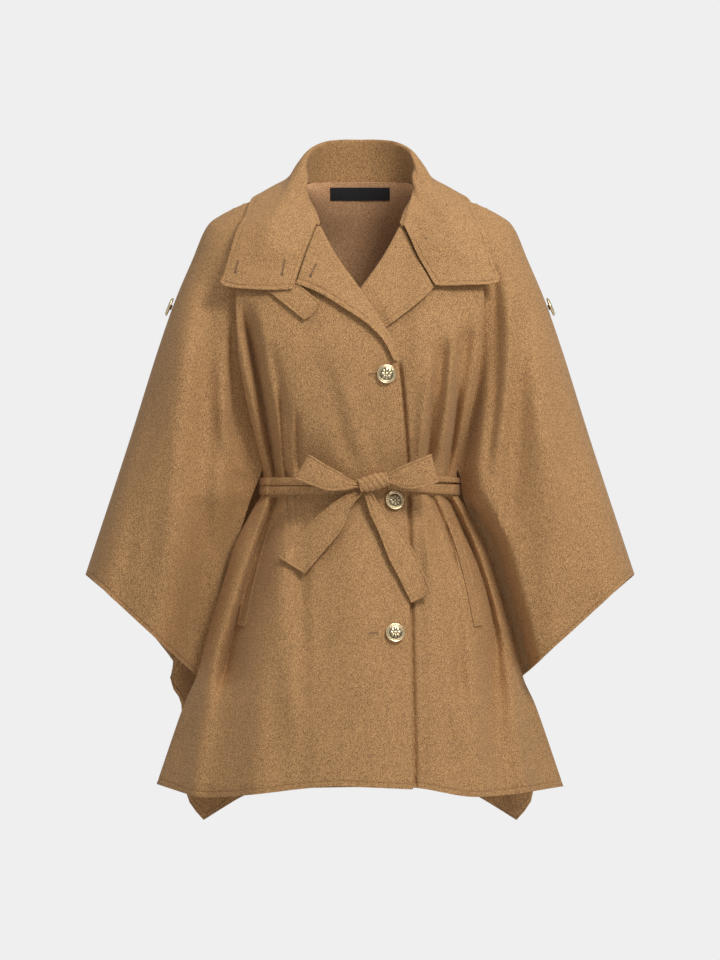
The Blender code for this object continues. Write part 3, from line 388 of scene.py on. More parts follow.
    def ridge_points(self) -> tuple[np.ndarray, np.ndarray]:
        """The overarm ridge's places and their shares of its length."""
        shares = np.linspace(0, 1, self.ridge_steps)
        return Curve(self.ridge).at(shares), shares

    def ridge_y(self, share: np.ndarray | float) -> np.ndarray:
        """The ridge's place from front to back, by its share of length."""
        shares, depths = zip(*self.ridge_depths)
        return np.interp(share, shares, depths)

    def round_to_ridge(self, x: np.ndarray, z: np.ndarray, full: np.ndarray, reach: float) -> np.ndarray:
        """Bends a depth round so that the cloth meets the overarm ridge squarely.

        Args:
            x: outward places.
            z: heights.
            full: the depths away from the ridge.
            reach: how far from the ridge the bend starts.

        Returns:
            The bent depths.
        """
        points, shares = self.ridge_points()
        flat_x, flat_z = np.ravel(x), np.ravel(z)
        gaps = np.hypot(flat_x[:, None] - points[:, 0], flat_z[:, None] - points[:, 1])
        nearest = gaps.argmin(axis=1)
        distance = np.reshape(gaps[np.arange(len(nearest)), nearest], np.shape(x))
        at_ridge = np.reshape(self.ridge_y(shares[nearest]), np.shape(x))
        turn = np.sqrt(1 - (1 - np.clip(distance / reach, 0, 1)) ** 2)
        return at_ridge + (full - at_ridge) * turn

    @staticmethod
    def line_x(points: np.ndarray, z: np.ndarray) -> np.ndarray:
        """How far out a line of (x, z) places lies at each height."""
        order = np.argsort(points[:, 1])
        return np.interp(z, points[order, 1], points[order, 0])

    def side_x(self, z: np.ndarray) -> np.ndarray:
        """How far out the body's side line lies at each height."""
        return self.line_x(np.vstack([Curve(self.side_top).points, Curve(self.side_low).points]), z)

    def edge_x(self, z: np.ndarray) -> np.ndarray:
        """How far out a front's edge lies at each height."""
        return self.line_x(np.vstack([Curve(self.edge_top).points, Curve(self.edge_low).points]), z)

    @staticmethod
    def moved(folds: Sequence[Fold], x: np.ndarray, z: np.ndarray) -> np.ndarray:
        """How far several folds together move the cloth forward."""
        return sum(fold.shift(x, z) for fold in folds)

    def body_depth(self, x: np.ndarray, z: np.ndarray, side: Side, fine: bool = True) -> np.ndarray:
        """y of a front's body and skirt.

        Args:
            x: outward places.
            z: heights.
            side: which front.
            fine: with the narrow creases.

        Returns:
            The outer face's y in millimetres.
        """
        centre = read_levels(self.front_levels, 1, z)
        edge = read_levels(self.front_levels, 2, z)
        out = self.side_x(z)
        y = centre + (edge - centre) * np.clip(np.abs(x) / out, 0, 1.1) ** self.body_bow
        rolled = np.clip((x - out) / self.side_roll_width + 1, 0, 1) ** 2
        y = y + self.side_roll * rolled * smooth_step((-z - self.side_roll_from) / self.side_roll_fade)
        shift = self.moved(side.pick(self.body_folds_right, self.body_folds_left), x, z)
        if fine:
            shift = shift + self.moved(side.pick(self.creases_right, self.creases_left), x, z)
        y = y - shift * smooth_step((x - self.folds_from) / self.folds_fade)
        if fine:
            y = y - self.moved(side.pick(self.drags_right, self.drags_left), x, z)
        y = self.round_to_ridge(x, z, y, self.front_round)
        if side is Side.LEFT:
            sunk = (self.underlap_from - x) / (self.underlap_from - self.underlap_full)
            y = y + self.underlap_drop * smooth_step(sunk)
        return y

    def wing_depth(self, x: np.ndarray, z: np.ndarray, side: Side) -> np.ndarray:
        """y of a front's wing.

        Args:
            x: outward places.
            z: heights.
            side: which front.

        Returns:
            The outer face's y in millimetres.
        """
        inner = read_levels(self.front_levels, 3, z)
        outer = read_levels(self.front_levels, 4, z)
        start = self.side_x(z)
        end = self.line_x(self.ridge_points()[0], z)
        across = np.clip((x - start) / np.maximum(end - start, 1), 0, 1)
        bow = side.pick(self.wing_bow_right, self.wing_bow_left)
        y = inner + (outer - inner) * smooth_step(across / bow)
        folds = side.pick(self.wing_folds_right + self.wing_creases_right,
                          self.wing_folds_left + self.wing_creases_left)
        return self.round_to_ridge(x, z, y - self.moved(folds, x, z), self.front_round)

    def chest_depth(self, x: np.ndarray, z: np.ndarray, side: Side) -> np.ndarray:
        """y of a front, body or wing, whichever is at outward x."""
        return np.where(x <= self.side_x(z), self.body_depth(x, z, side, False), self.wing_depth(x, z, side))

    def back_depth(self, x: np.ndarray, z: np.ndarray) -> np.ndarray:
        """y of the back at outward x."""
        y = read_levels(self.back_levels, 1, z) - self.back_side_drop * (x / self.back_side_drop_x) ** 2
        return self.round_to_ridge(x, z, y + self.moved(self.back_folds, x, z), self.back_round)

    def ridge_moved_in(self, distance: float) -> np.ndarray:
        """Points of the ridge, moved toward the front's middle.

        Args:
            distance: how far they move.

        Returns:
            The moved (x, z) places, from the neck to the wing's tip.
        """
        shares = np.linspace(0, 1, self.seam_steps)
        points = Curve(self.ridge).at(shares)
        along = np.gradient(points, axis=0)
        along /= np.linalg.norm(along, axis=1)[:, None]
        return points + np.stack([along[:, 1], -along[:, 0]], axis=1) * distance


FORM = CapeForm()


# ---- Sewn edges ----
# lines of points beside an edge, as shares of the distance to its stitches
LINE_SHARES = (0, 0.05, 0.12, 0.24, 0.5, 0.76, 0.88, 1, 1.12, 1.28, 1.6)


@dataclass(frozen=True)
class SewnEdge:
    """An edge that is turned in and stitched down: a thicker lip, then a groove where the thread pulls in."""

    stitch: float = 6.6
    lip: float = 1.5
    groove: float = 1.6
    groove_width: float = 1.0
    round_over: float = 1.1
    drop: float = 0.9

    def distances(self) -> np.ndarray:
        """Distances from the edge where the cloth needs a line of points."""
        return self.stitch * np.array(LINE_SHARES)

    @property
    def stitch_index(self) -> int:
        """Which of those lines carries the stitches: the one at a share of 1."""
        return LINE_SHARES.index(1)

    def steps(self, length: float, rows: int) -> np.ndarray:
        """Shares of a length, even at first and then close together at the sewn edge that ends it.

        Args:
            length: the length in millimetres.
            rows: how many even steps come first.

        Returns:
            Shares from 0 to 1.
        """
        near = self.distances() / length
        return np.concatenate([np.linspace(0, 1 - near[-1], rows), 1 - near[-2::-1]])

    def rise(self, distance: np.ndarray) -> np.ndarray:
        """How far the cloth's face stands out.

        Args:
            distance: distances from the edge.

        Returns:
            Millimetres out at each distance.
        """
        over = np.clip(1 - distance / self.round_over, 0, 1)
        rounded = -self.drop * (1 - np.sqrt(1 - over**2))
        lip = self.lip * (1 - smooth_step((distance / self.stitch - 0.76) / 0.48))
        groove = -self.groove * np.exp(-(((distance - self.stitch) / self.groove_width) ** 2))
        return rounded + lip + groove


EDGE = SewnEdge()
PLAIN_EDGE = SewnEdge(lip=0.0, groove=0.0)


def spread(length: np.ndarray, count: int, near_first: np.ndarray, near_last: np.ndarray,
           closing: float = 1.0) -> np.ndarray:
    """Shares across a row, with lines at fixed distances from both ends.

    Args:
        length: each row's length.
        count: how many lines lie between the fixed ones.
        near_first: distances of the first lines from the start.
        near_last: distances of the last lines from the end.
        closing: above 1, the lines between close up toward the end.

    Returns:
        A grid of shares, one row for each length.
    """
    length = np.reshape(length, (-1, 1))
    fit = np.minimum(1, 0.9 * length / (near_first[-1] + near_last[-1]))
    first = near_first[None, :] * fit / length
    last = 1 - near_last[None, ::-1] * fit / length
    step = 1 - (1 - np.linspace(0, 1, count + 2)[None, 1:-1]) ** closing
    middle = first[:, -1:] + (last[:, :1] - first[:, -1:]) * step
    return np.concatenate([first, middle, last], axis=1)


def face_normals(points: np.ndarray) -> np.ndarray:
    """Unit normals of a grid of points.

    Args:
        points: rows of columns of places.

    Returns:
        The normals, which point to whichever side the grid's turn gives.
    """
    normals = np.cross(np.gradient(points, axis=1), np.gradient(points, axis=0))
    return normals / np.maximum(np.linalg.norm(normals, axis=-1, keepdims=True), 1e-9)


def pushed_out(points: np.ndarray, rise: np.ndarray, outward: np.ndarray) -> np.ndarray:
    """Moves a grid's points along its normals.

    Args:
        points: the grid.
        rise: how far each point moves.
        outward: a direction that the outer face looks along, the same for all or one for each point.

    Returns:
        The moved grid.
    """
    normals = face_normals(points)
    facing = np.sign(np.sum(normals * outward, axis=-1, keepdims=True))
    return points + normals * facing * rise[..., None]


FORWARD = np.array([0.0, -1.0, 0.0])
BACKWARD = np.array([0.0, 1.0, 0.0])


# ---- Mesh making ----
def select_only(thing: bpy.types.Object) -> None:
    """Leaves one object selected and active.

    Args:
        thing: the object.
    """
    bpy.ops.object.select_all(action="DESELECT")
    thing.select_set(True)
    bpy.context.view_layer.objects.active = thing


def write_places(mesh: bpy.types.Mesh, places: np.ndarray) -> None:
    """Puts a mesh's vertices at places in millimetres."""
    mesh.vertices.foreach_set("co", np.ascontiguousarray(places * MM, dtype=np.float32).ravel())
    mesh.update()


def vertex_places(thing: bpy.types.Object) -> np.ndarray:
    """An object's vertices as its mesh holds them.

    Args:
        thing: the object.

    Returns:
        A row of x, y and z for each vertex, in metres.
    """
    places = np.empty(len(thing.data.vertices) * 3, dtype=np.float32)
    thing.data.vertices.foreach_get("co", places)
    return places.reshape(-1, 3)


def delete_faces(thing: bpy.types.Object, gone: np.ndarray) -> None:
    """Deletes some of an object's faces.

    Args:
        thing: the object.
        gone: a mask that picks the faces.
    """
    select_only(thing)
    bpy.ops.object.mode_set(mode="EDIT")
    bpy.ops.mesh.select_mode(type="FACE")
    bpy.ops.mesh.select_all(action="DESELECT")
    bpy.ops.object.mode_set(mode="OBJECT")
    thing.data.polygons.foreach_set("select", gone)
    bpy.ops.object.mode_set(mode="EDIT")
    bpy.ops.mesh.delete(type="FACE")
    bpy.ops.object.mode_set(mode="OBJECT")


def apply_all(thing: bpy.types.Object) -> None:
    """Applies an object's modifiers in order."""
    select_only(thing)
    for modifier in list(thing.modifiers):
        bpy.ops.object.modifier_apply(modifier=modifier.name)


def smooth(thing: bpy.types.Object, degrees: float = 48.0) -> None:
    """Shades an object smooth except at its sharp edges."""
    select_only(thing)
    bpy.ops.object.shade_smooth_by_angle(angle=math.radians(degrees))


def edit_all(operator: Callable[..., object], **options: float) -> None:
    """Runs one edit-mode operator on the whole of the active object.

    Args:
        operator: the operator.
        options: its options.
    """
    bpy.ops.object.mode_set(mode="EDIT")
    bpy.ops.mesh.select_all(action="SELECT")
    operator(**options)
    bpy.ops.object.mode_set(mode="OBJECT")


def cloth_grid(name: str, points: np.ndarray, outward: Outward, wall: float,
               cut: np.ndarray | None = None, closed: bool = False) -> bpy.types.Object:
    """Makes a wall of cloth from a grid of its outer face's points.

    Args:
        name: the piece's name.
        points: rows of columns of places in millimetres.
        outward: gives the direction out for face centres.
        wall: the cloth's thickness in millimetres.
        cut: a mask of the grid's cells that are left out.
        closed: the last column lies on the first.

    Returns:
        The piece.
    """
    rows, columns = points.shape[:2]
    bpy.ops.object.select_all(action="DESELECT")
    bpy.ops.mesh.primitive_grid_add(x_subdivisions=columns - 1, y_subdivisions=rows - 1, size=2)
    sheet = bpy.context.active_object
    sheet.name = name
    sheet.data.name = name
    flat = vertex_places(sheet)
    column = np.rint((flat[:, 0] + 1) / 2 * (columns - 1)).astype(int)
    row = np.rint((flat[:, 1] + 1) / 2 * (rows - 1)).astype(int)
    corners = np.empty(len(sheet.data.loops), dtype=np.int32)
    sheet.data.loops.foreach_get("vertex_index", corners)
    corners = corners.reshape(-1, 4)
    cell = (row[corners].min(axis=1), column[corners].min(axis=1))
    write_places(sheet.data, points[row, column])
    centres = points[row, column][corners].mean(axis=1)
    normals = np.empty(len(sheet.data.polygons) * 3, dtype=np.float32)
    sheet.data.polygons.foreach_get("normal", normals)
    if np.sum(normals.reshape(-1, 3) * outward(centres)) < 0:
        edit_all(bpy.ops.mesh.flip_normals)
    if closed:
        edit_all(bpy.ops.mesh.remove_doubles, threshold=WELD)
    elif cut is not None:
        delete_faces(sheet, cut[cell])
    if wall:
        solidify = sheet.modifiers.new("wall", "SOLIDIFY")
        solidify.thickness = wall * MM
        solidify.offset = -1
        apply_all(sheet)
    smooth(sheet)
    return sheet


def facing(direction: np.ndarray) -> Callable[[np.ndarray], np.ndarray]:
    """The same direction out for every face."""
    return lambda centres: np.broadcast_to(direction, centres.shape)


def mirrored(points: np.ndarray, side: Side) -> np.ndarray:
    """Outward places as world places on one side of the cape."""
    return points * np.array([side.value, 1.0, 1.0])


def joined(xz: np.ndarray, y: np.ndarray) -> np.ndarray:
    """Places from a grid of (x, z) and their depths."""
    return np.stack([xz[..., 0], y, xz[..., 1]], axis=-1)


def grid_area(points: np.ndarray) -> float:
    """A grid's area.

    Args:
        points: the grid in millimetres.

    Returns:
        Its area in square metres.
    """
    a = points[1:, :-1] - points[:-1, :-1]
    b = points[:-1, 1:] - points[:-1, :-1]
    return float(np.linalg.norm(np.cross(a, b), axis=-1).sum() * MM * MM)


@dataclass(frozen=True)
class StitchLine:
    """Where a row of stitches runs: places on the cloth's face, and the directions out of it."""

    places: np.ndarray
    normals: np.ndarray


def grid_line(points: np.ndarray, outward: np.ndarray, row: int | slice, column: int | slice) -> StitchLine:
    """A row or column of a grid as a line for stitches.

    Args:
        points: the grid.
        outward: the direction that its face looks along.
        row: the rows on the line.
        column: the columns on the line.

    Returns:
        The line.
    """
    normals = face_normals(points)
    normals = normals * np.sign(np.sum(normals * outward, axis=-1, keepdims=True))
    return StitchLine(points[row, column], normals[row, column])


@dataclass(frozen=True)
class Thread:
    """Rows of short, slightly sunken stitches."""

    length: float = 3.0
    pitch: float = 4.1
    radius: float = 0.27
    sides: int = 6
    rings: Rows = ((-1.0, 0.25), (-0.72, 0.85), (0.0, 1.0), (0.72, 0.85), (1.0, 0.25))
    dip: float = 0.35

    def one_stitch(self) -> tuple[np.ndarray, np.ndarray]:
        """One stitch along x, with its top at +z.

        Returns:
            Its places, and its faces as corner indices.
        """
        turn = np.arange(self.sides) * math.tau / self.sides
        places = [(share * self.length / 2, math.cos(a) * self.radius * size,
                   math.sin(a) * self.radius * size - self.dip * share**2)
                  for share, size in self.rings for a in turn]
        faces = []
        for ring in range(len(self.rings) - 1):
            for k in range(self.sides):
                a, b = ring * self.sides + k, ring * self.sides + (k + 1) % self.sides
                faces.append((a, b, b + self.sides, a + self.sides))
        return np.array(places), np.array(faces)

    def sew(self, name: str, lines: Sequence[StitchLine]) -> bpy.types.Object:
        """Sews stitches along lines.

        Args:
            name: the piece's name.
            lines: where the rows run.

        Returns:
            One piece that holds all the stitches.
        """
        places, normals, along = [], [], []
        for line in lines:
            steps = np.linalg.norm(np.diff(line.places, axis=0), axis=1)
            run = np.concatenate([[0.0], np.cumsum(steps)])
            marks = np.arange(self.pitch, run[-1] - self.pitch, self.pitch)
            at = np.stack([np.interp(marks, run, line.places[:, k]) for k in range(3)], axis=1)
            ahead = np.stack([np.interp(marks + 0.5, run, line.places[:, k]) for k in range(3)], axis=1)
            out = np.stack([np.interp(marks, run, line.normals[:, k]) for k in range(3)], axis=1)
            places.append(at)
            along.append(ahead - at)
            normals.append(out)
        return self.sew_at(name, np.concatenate(places), np.concatenate(along), np.concatenate(normals))

    def sew_at(self, name: str, at: np.ndarray, x_axis: np.ndarray, z_axis: np.ndarray) -> bpy.types.Object:
        """Sews single stitches at places.

        Args:
            name: the piece's name.
            at: the stitches' middles in millimetres.
            x_axis: the way each stitch runs.
            z_axis: the way out of the cloth.

        Returns:
            One piece that holds all the stitches.
        """
        stitch, faces = self.one_stitch()
        x_axis = x_axis / np.linalg.norm(x_axis, axis=1, keepdims=True)
        z_axis = z_axis - np.sum(z_axis * x_axis, axis=1, keepdims=True) * x_axis
        z_axis /= np.linalg.norm(z_axis, axis=1, keepdims=True)
        y_axis = np.cross(z_axis, x_axis)
        axes = np.stack([x_axis, y_axis, z_axis], axis=1)
        verts = at[:, None, :] + np.einsum("vk,nkc->nvc", stitch, axes)
        index = faces[None] + (np.arange(len(at)) * len(stitch))[:, None, None]
        ends = []
        last = len(stitch) - self.sides
        for start in np.arange(len(at)) * len(stitch):
            ends.append(tuple(range(start + self.sides - 1, start - 1, -1)))
            ends.append(tuple(range(start + last, start + last + self.sides)))
        mesh = bpy.data.meshes.new(name)
        mesh.from_pydata((verts.reshape(-1, 3) * MM).tolist(), [], index.reshape(-1, 4).tolist() + ends)
        mesh.update()
        thing = bpy.data.objects.new(name, mesh)
        bpy.context.scene.collection.objects.link(thing)
        smooth(thing, 60)
        return thing


THREAD = Thread()
# thick dark stitches that paint the neck seam's line of shade
SEAM_SHADE_THREAD = Thread(length=3.2, pitch=3.3, radius=0.5, dip=0.1)
LABEL_THREAD = Thread(length=2.0, pitch=2.6, radius=0.16)


# ---- Finishes ----
Colour = tuple[float, float, float, float]
Socket = bpy.types.NodeSocket


class NodeKit:
    """Short ways to add and link shader nodes in one tree."""

    def __init__(self, tree: bpy.types.NodeTree) -> None:
        """Keeps the tree."""
        self.tree = tree

    def add(self, kind: str, **values: object) -> bpy.types.Node:
        """Adds a node.

        Args:
            kind: the node's type.
            values: its properties.

        Returns:
            The node.
        """
        node = self.tree.nodes.new(kind)
        for name, value in values.items():
            setattr(node, name, value)
        return node

    def link(self, start: Socket, end: Socket) -> None:
        """Links an output to an input."""
        self.tree.links.new(start, end)

    def noise(self, vector: Socket, scale: float, detail: float, rough: float) -> Socket:
        """A noise pattern.

        Args:
            vector: where the pattern is read.
            scale: its fineness.
            detail: its octaves.
            rough: the finer octaves' share.

        Returns:
            The pattern's value.
        """
        node = self.add("ShaderNodeTexNoise")
        node.inputs["Scale"].default_value = scale
        node.inputs["Detail"].default_value = detail
        node.inputs["Roughness"].default_value = rough
        self.link(vector, node.inputs["Vector"])
        return node.outputs["Fac"]

    def stretched(self, vector: Socket, scale: tuple[float, float, float],
                  turn: tuple[float, float, float] = (0.0, 0.0, 0.0)) -> Socket:
        """Turns and stretches a vector.

        Args:
            vector: the vector.
            scale: the scale along each axis.
            turn: the turn about each axis in radians.

        Returns:
            The new vector.
        """
        node = self.add("ShaderNodeMapping")
        node.inputs["Scale"].default_value = scale
        node.inputs["Rotation"].default_value = turn
        self.link(vector, node.inputs["Vector"])
        return node.outputs["Vector"]

    def ramp(self, value: Socket, low: float, high: float, start: float = 0.0, end: float = 1.0) -> Socket:
        """Moves a value from one range to another, and holds it inside.

        Args:
            value: the value.
            low: the old range's start.
            high: the old range's end.
            start: the new range's start.
            end: the new range's end.

        Returns:
            The moved value.
        """
        node = self.add("ShaderNodeMapRange")
        node.inputs["From Min"].default_value = low
        node.inputs["From Max"].default_value = high
        node.inputs["To Min"].default_value = start
        node.inputs["To Max"].default_value = end
        self.link(value, node.inputs["Value"])
        return node.outputs["Result"]

    def math(self, operation: str, first: Socket, second: Socket | float) -> Socket:
        """Reckons with two values.

        Args:
            operation: the Math node's operation.
            first: the first value.
            second: the second value, or a number.

        Returns:
            The result.
        """
        node = self.add("ShaderNodeMath", operation=operation)
        self.link(first, node.inputs[0])
        if isinstance(second, float):
            node.inputs[1].default_value = second
        else:
            self.link(second, node.inputs[1])
        return node.outputs["Value"]

    def mix(self, share: Socket, first: Socket | Colour, second: Socket | Colour) -> Socket:
        """Mixes two colours.

        Args:
            share: the second colour's share.
            first: the first colour, as a socket or a value.
            second: the second colour, as a socket or a value.

        Returns:
            The mixed colour.
        """
        node = self.add("ShaderNodeMix", data_type="RGBA")
        self.link(share, node.inputs[0])
        for colour, socket in ((first, node.inputs[6]), (second, node.inputs[7])):
            if isinstance(colour, tuple):
                socket.default_value = colour
            else:
                self.link(colour, socket)
        return node.outputs[2]


NAP_SOCKETS = (("Place", "INPUT", "Vector"), ("Light", "INPUT", "Color"), ("Dark", "INPUT", "Color"),
               ("Color", "OUTPUT", "Color"), ("Height", "OUTPUT", "Float"))


def wool_nap_group() -> bpy.types.NodeTree:
    """The brushed face of wool cloth: heathered fibres in two tones, and their relief."""
    if "wool_nap" in bpy.data.node_groups:
        return bpy.data.node_groups["wool_nap"]
    tree = bpy.data.node_groups.new("wool_nap", "ShaderNodeTree")
    for name, way, kind in NAP_SOCKETS:
        tree.interface.new_socket(name, in_out=way, socket_type=f"NodeSocket{kind}")
    kit = NodeKit(tree)
    source = kit.add("NodeGroupInput")
    place = source.outputs["Place"]
    fine = kit.noise(place, 1500.0, 1.0, 0.5)
    fibres = kit.noise(kit.stretched(place, (1.0, 1.0, 0.5), (0.0, 0.62, 0.0)), 1500.0, 1.0, 0.5)
    twill = kit.noise(kit.stretched(place, (1.0, 1.0, 0.2), (0.0, -0.78, 0.0)), 1300.0, 1.0, 0.5)
    patches = kit.noise(place, 70.0, 3.0, 0.6)
    broad = kit.noise(place, 9.0, 2.0, 0.5)
    grain = kit.math("ADD", kit.math("MULTIPLY", fine, 0.5), kit.math("MULTIPLY", fibres, 0.5))
    grain = kit.math("ADD", grain, kit.math("MULTIPLY", kit.ramp(twill, 0.3, 0.7, -1.0, 1.0), 0.035))
    tone = kit.math("ADD", kit.ramp(grain, 0.42, 0.58, 0.0, 1.0), kit.ramp(patches, 0.3, 0.7, -0.03, 0.03))
    tone = kit.math("ADD", tone, kit.ramp(broad, 0.3, 0.7, -0.03, 0.03))
    colour = kit.mix(kit.ramp(tone, 0.0, 1.0), source.outputs["Dark"], source.outputs["Light"])
    result = kit.add("NodeGroupOutput")
    kit.link(colour, result.inputs["Color"])
    kit.link(grain, result.inputs["Height"])
    return tree


def tinted(colour: Colour, share: float) -> Colour:
    """A colour made lighter or darker."""
    return tuple(share * part for part in colour[:3]) + (1.0,)


@dataclass(frozen=True)
class Finish:
    """What every finish has: a name, a main colour and a fine relief."""

    name: str
    colour: Colour
    strength: float = 0.3
    relief: float = 0.0002
    values: tuple[tuple[str, float | Colour], ...] = (("Roughness", 0.55),)

    def surface(self, kit: NodeKit, place: Socket) -> dict[str, Socket]:
        """The sockets that the finish gives its shader, and its relief under the name Height.

        Args:
            kit: adds the nodes.
            place: the place on the object.

        Returns:
            The sockets by the names of the shader's inputs.
        """
        raise NotImplementedError

    def build(self) -> bpy.types.Material:
        """The finish's material."""
        material = bpy.data.materials.new(self.name)
        material.use_nodes = True
        kit = NodeKit(material.node_tree)
        shader = material.node_tree.nodes["Principled BSDF"]
        sockets = self.surface(kit, kit.add("ShaderNodeTexCoord").outputs["Object"])
        bump = kit.add("ShaderNodeBump")
        bump.inputs["Strength"].default_value = self.strength
        bump.inputs["Distance"].default_value = self.relief
        kit.link(sockets.pop("Height"), bump.inputs["Height"])
        kit.link(bump.outputs["Normal"], shader.inputs["Normal"])
        for name, socket in sockets.items():
            kit.link(socket, shader.inputs[name])
        for name, value in self.values:
            shader.inputs[name].default_value = value
        return material


@dataclass(frozen=True)
class WoolFinish(Finish):
    """Brushed wool coating cloth, in its lighter fibres' colour and a darker one."""

    dark: Colour = (0.0, 0.0, 0.0, 1.0)
    strength: float = 0.35
    relief: float = 0.0006
    values: tuple[tuple[str, float | Colour], ...] = (
        ("Roughness", 0.8), ("Specular IOR Level", 0.45), ("Sheen Weight", 0.1), ("Sheen Roughness", 0.55),
        ("Sheen Tint", (0.93, 0.78, 0.6, 1.0)))

    def surface(self, kit: NodeKit, place: Socket) -> dict[str, Socket]:
        """The nap's colour and relief; takes and returns what Finish.surface does."""
        nap = kit.add("ShaderNodeGroup", node_tree=wool_nap_group())
        nap.inputs["Light"].default_value = self.colour
        nap.inputs["Dark"].default_value = self.dark
        kit.link(place, nap.inputs["Place"])
        return {"Base Color": nap.outputs["Color"], "Height": nap.outputs["Height"]}


@dataclass(frozen=True)
class ThreadFinish(Finish):
    """Matt sewing thread."""

    twist: float = 2400.0
    values: tuple[tuple[str, float | Colour], ...] = (("Roughness", 0.7),)

    def surface(self, kit: NodeKit, place: Socket) -> dict[str, Socket]:
        """The thread's twist; takes and returns what Finish.surface does."""
        twist = kit.noise(place, self.twist, 1.0, 0.5)
        return {"Base Color": kit.mix(twist, tinted(self.colour, 0.8), self.colour), "Height": twist}


@dataclass(frozen=True)
class MetalFinish(Finish):
    """Polished, lightly worn gold-coloured metal, darkened in its hollows by painted shade, and slightly
    scuffed.
    """

    shade: Colour = (0.0, 0.0, 0.0, 1.0)
    roughness: float = 0.2
    wear: float = 0.16
    scuff: float = 900.0
    cloud: float = 160.0
    strength: float = 0.12
    relief: float = 0.0001
    values: tuple[tuple[str, float | Colour], ...] = (("Metallic", 1.0),)

    def surface(self, kit: NodeKit, place: Socket) -> dict[str, Socket]:
        """The metal's tone and scuffs; takes and returns what Finish.surface does."""
        scuffs = kit.noise(place, self.scuff, 4.0, 0.65)
        cloud = kit.noise(place, self.cloud, 2.0, 0.5)
        hollow_shade = kit.add("ShaderNodeAttribute", attribute_name="hollow_shade").outputs["Fac"]
        shown = kit.math("SUBTRACT", kit.ramp(cloud, 0.2, 0.5, 0.8, 1.0), hollow_shade)
        return {"Base Color": kit.mix(kit.ramp(shown, 0.0, 1.0), self.shade, self.colour),
                "Roughness": kit.ramp(scuffs, 0.3, 0.75, self.roughness, self.roughness + self.wear),
                "Height": scuffs}


@dataclass(frozen=True)
class SatinFinish(Finish):
    """Black woven satin with fine cross threads, for the bare label."""

    weft: float = 2600.0

    def surface(self, kit: NodeKit, place: Socket) -> dict[str, Socket]:
        """The weave; takes and returns what Finish.surface does."""
        weave = kit.noise(kit.stretched(place, (0.25, 1.0, 1.0)), self.weft, 1.0, 0.5)
        tone = kit.mix(weave, tinted(self.colour, 0.55), tinted(self.colour, 1.7))
        return {"Base Color": tone, "Height": weave}


@dataclass(frozen=True)
class Finishes:
    """Every finish on the cape, built once."""

    wool: bpy.types.Material
    # inside: a paler copy of the wool, painted light on the inner back round the neck
    inside: bpy.types.Material
    thread: bpy.types.Material
    shadow: bpy.types.Material
    gold: bpy.types.Material
    black: bpy.types.Material

    @classmethod
    def build(cls) -> "Finishes":
        """Builds the materials."""
        return cls(**{use: finish.build() for use, finish in FINISHES.items()})


FINISHES = {
    "wool": WoolFinish("camel_wool", (0.605, 0.333, 0.135, 1.0), dark=(0.16, 0.076, 0.022, 1.0)),
    # inside: a paler copy of the wool, painted light on the inner back round the neck
    "inside": WoolFinish("painted_light_wool", (0.84, 0.47, 0.24, 1.0), dark=(0.3, 0.15, 0.066, 1.0)),
    "thread": ThreadFinish("camel_thread", (0.36, 0.21, 0.1, 1.0)),
    # dark brown: the thread of the marks, and painted shade in the buttonhole slits and along the neck seam
    "shadow": ThreadFinish("brown_thread_and_painted_shade", (0.075, 0.036, 0.018, 1.0)),
    "gold": MetalFinish("pale_gold", (0.9, 0.74, 0.46, 1.0), shade=(0.07, 0.042, 0.02, 1.0)),
    "black": SatinFinish("black_satin", (0.013, 0.013, 0.015, 1.0)),
}


# ---- Placing a piece in the frame ----
@dataclass
class Dresser:
    """Gives each finished piece its finish and its body, and hides the CAD nodes that it stands for."""

    finishes: Finishes

    def place(self, piece: bpy.types.Object, finish: bpy.types.Material, slot: str,
              *nodes: str) -> bpy.types.Object:
        """Dresses one piece and hides the CAD nodes that it stands for.

        Args:
            piece: the finished piece.
            finish: its material.
            slot: the record's material slot; not used.
            nodes: CAD nodes that it replaces.

        Returns:
            The same piece.
        """
        piece.data.materials.clear()
        piece.data.materials.append(finish)
        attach(piece, "root")
        if nodes:
            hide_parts(*nodes)
        LOG.info("%s: %d faces", piece.name, len(piece.data.polygons))
        return piece

    def cloth(self, piece: bpy.types.Object, flat: tuple[float, float], area: float, hang: Hang,
              rests_on: Sequence[str], *nodes: str, slot: str = "wool",
              with_pieces: Sequence[bpy.types.Object] = ()) -> bpy.types.Object:
        """Dresses one sheet of wool.

        Args:
            piece: the finished sheet.
            flat: the cut's width and length in metres; not used.
            area: the cut's flat area in square metres; not used.
            hang: how it is held; not used.
            rests_on: what carries it; not used.
            nodes: CAD nodes that it replaces.
            slot: the record's material slot.
            with_pieces: the sewing on it; not used.

        Returns:
            The same piece.
        """
        self.place(piece, self.finishes.wool, slot, *nodes)
        return piece

    def sewn(self, name: str, points: np.ndarray, wall: float, lines: Sequence[StitchLine],
             flat: tuple[float, float], hang: Hang, rests_on: Sequence[str], slot: str = "wool",
             area: float | None = None, outward: Outward | None = None,
             cut: np.ndarray | None = None) -> bpy.types.Object:
        """Builds a sheet of wool from its grid, sews along its edges and dresses it.

        Args:
            name: the CAD node that it replaces; its own name starts with it.
            points: the grid of its outer face.
            wall: its thickness.
            lines: where the stitches run.
            flat: the cut's width and length in metres.
            hang: how it is held.
            rests_on: what carries it.
            slot: the record's material slot.
            area: the cut's area, where it isn't the grid's.
            outward: gives the way out for face centres, where it isn't forward.
            cut: the grid's cells that are left out.

        Returns:
            The sheet.
        """
        piece = cloth_grid(f"{name}_cloth", points, outward or facing(FORWARD), wall, cut)
        sewing = self.place(THREAD.sew(f"{name}_stitches", lines), self.finishes.thread, "wool")
        return self.cloth(piece, flat, grid_area(points) if area is None else area, hang, rests_on, name,
                          slot=slot, with_pieces=[sewing])


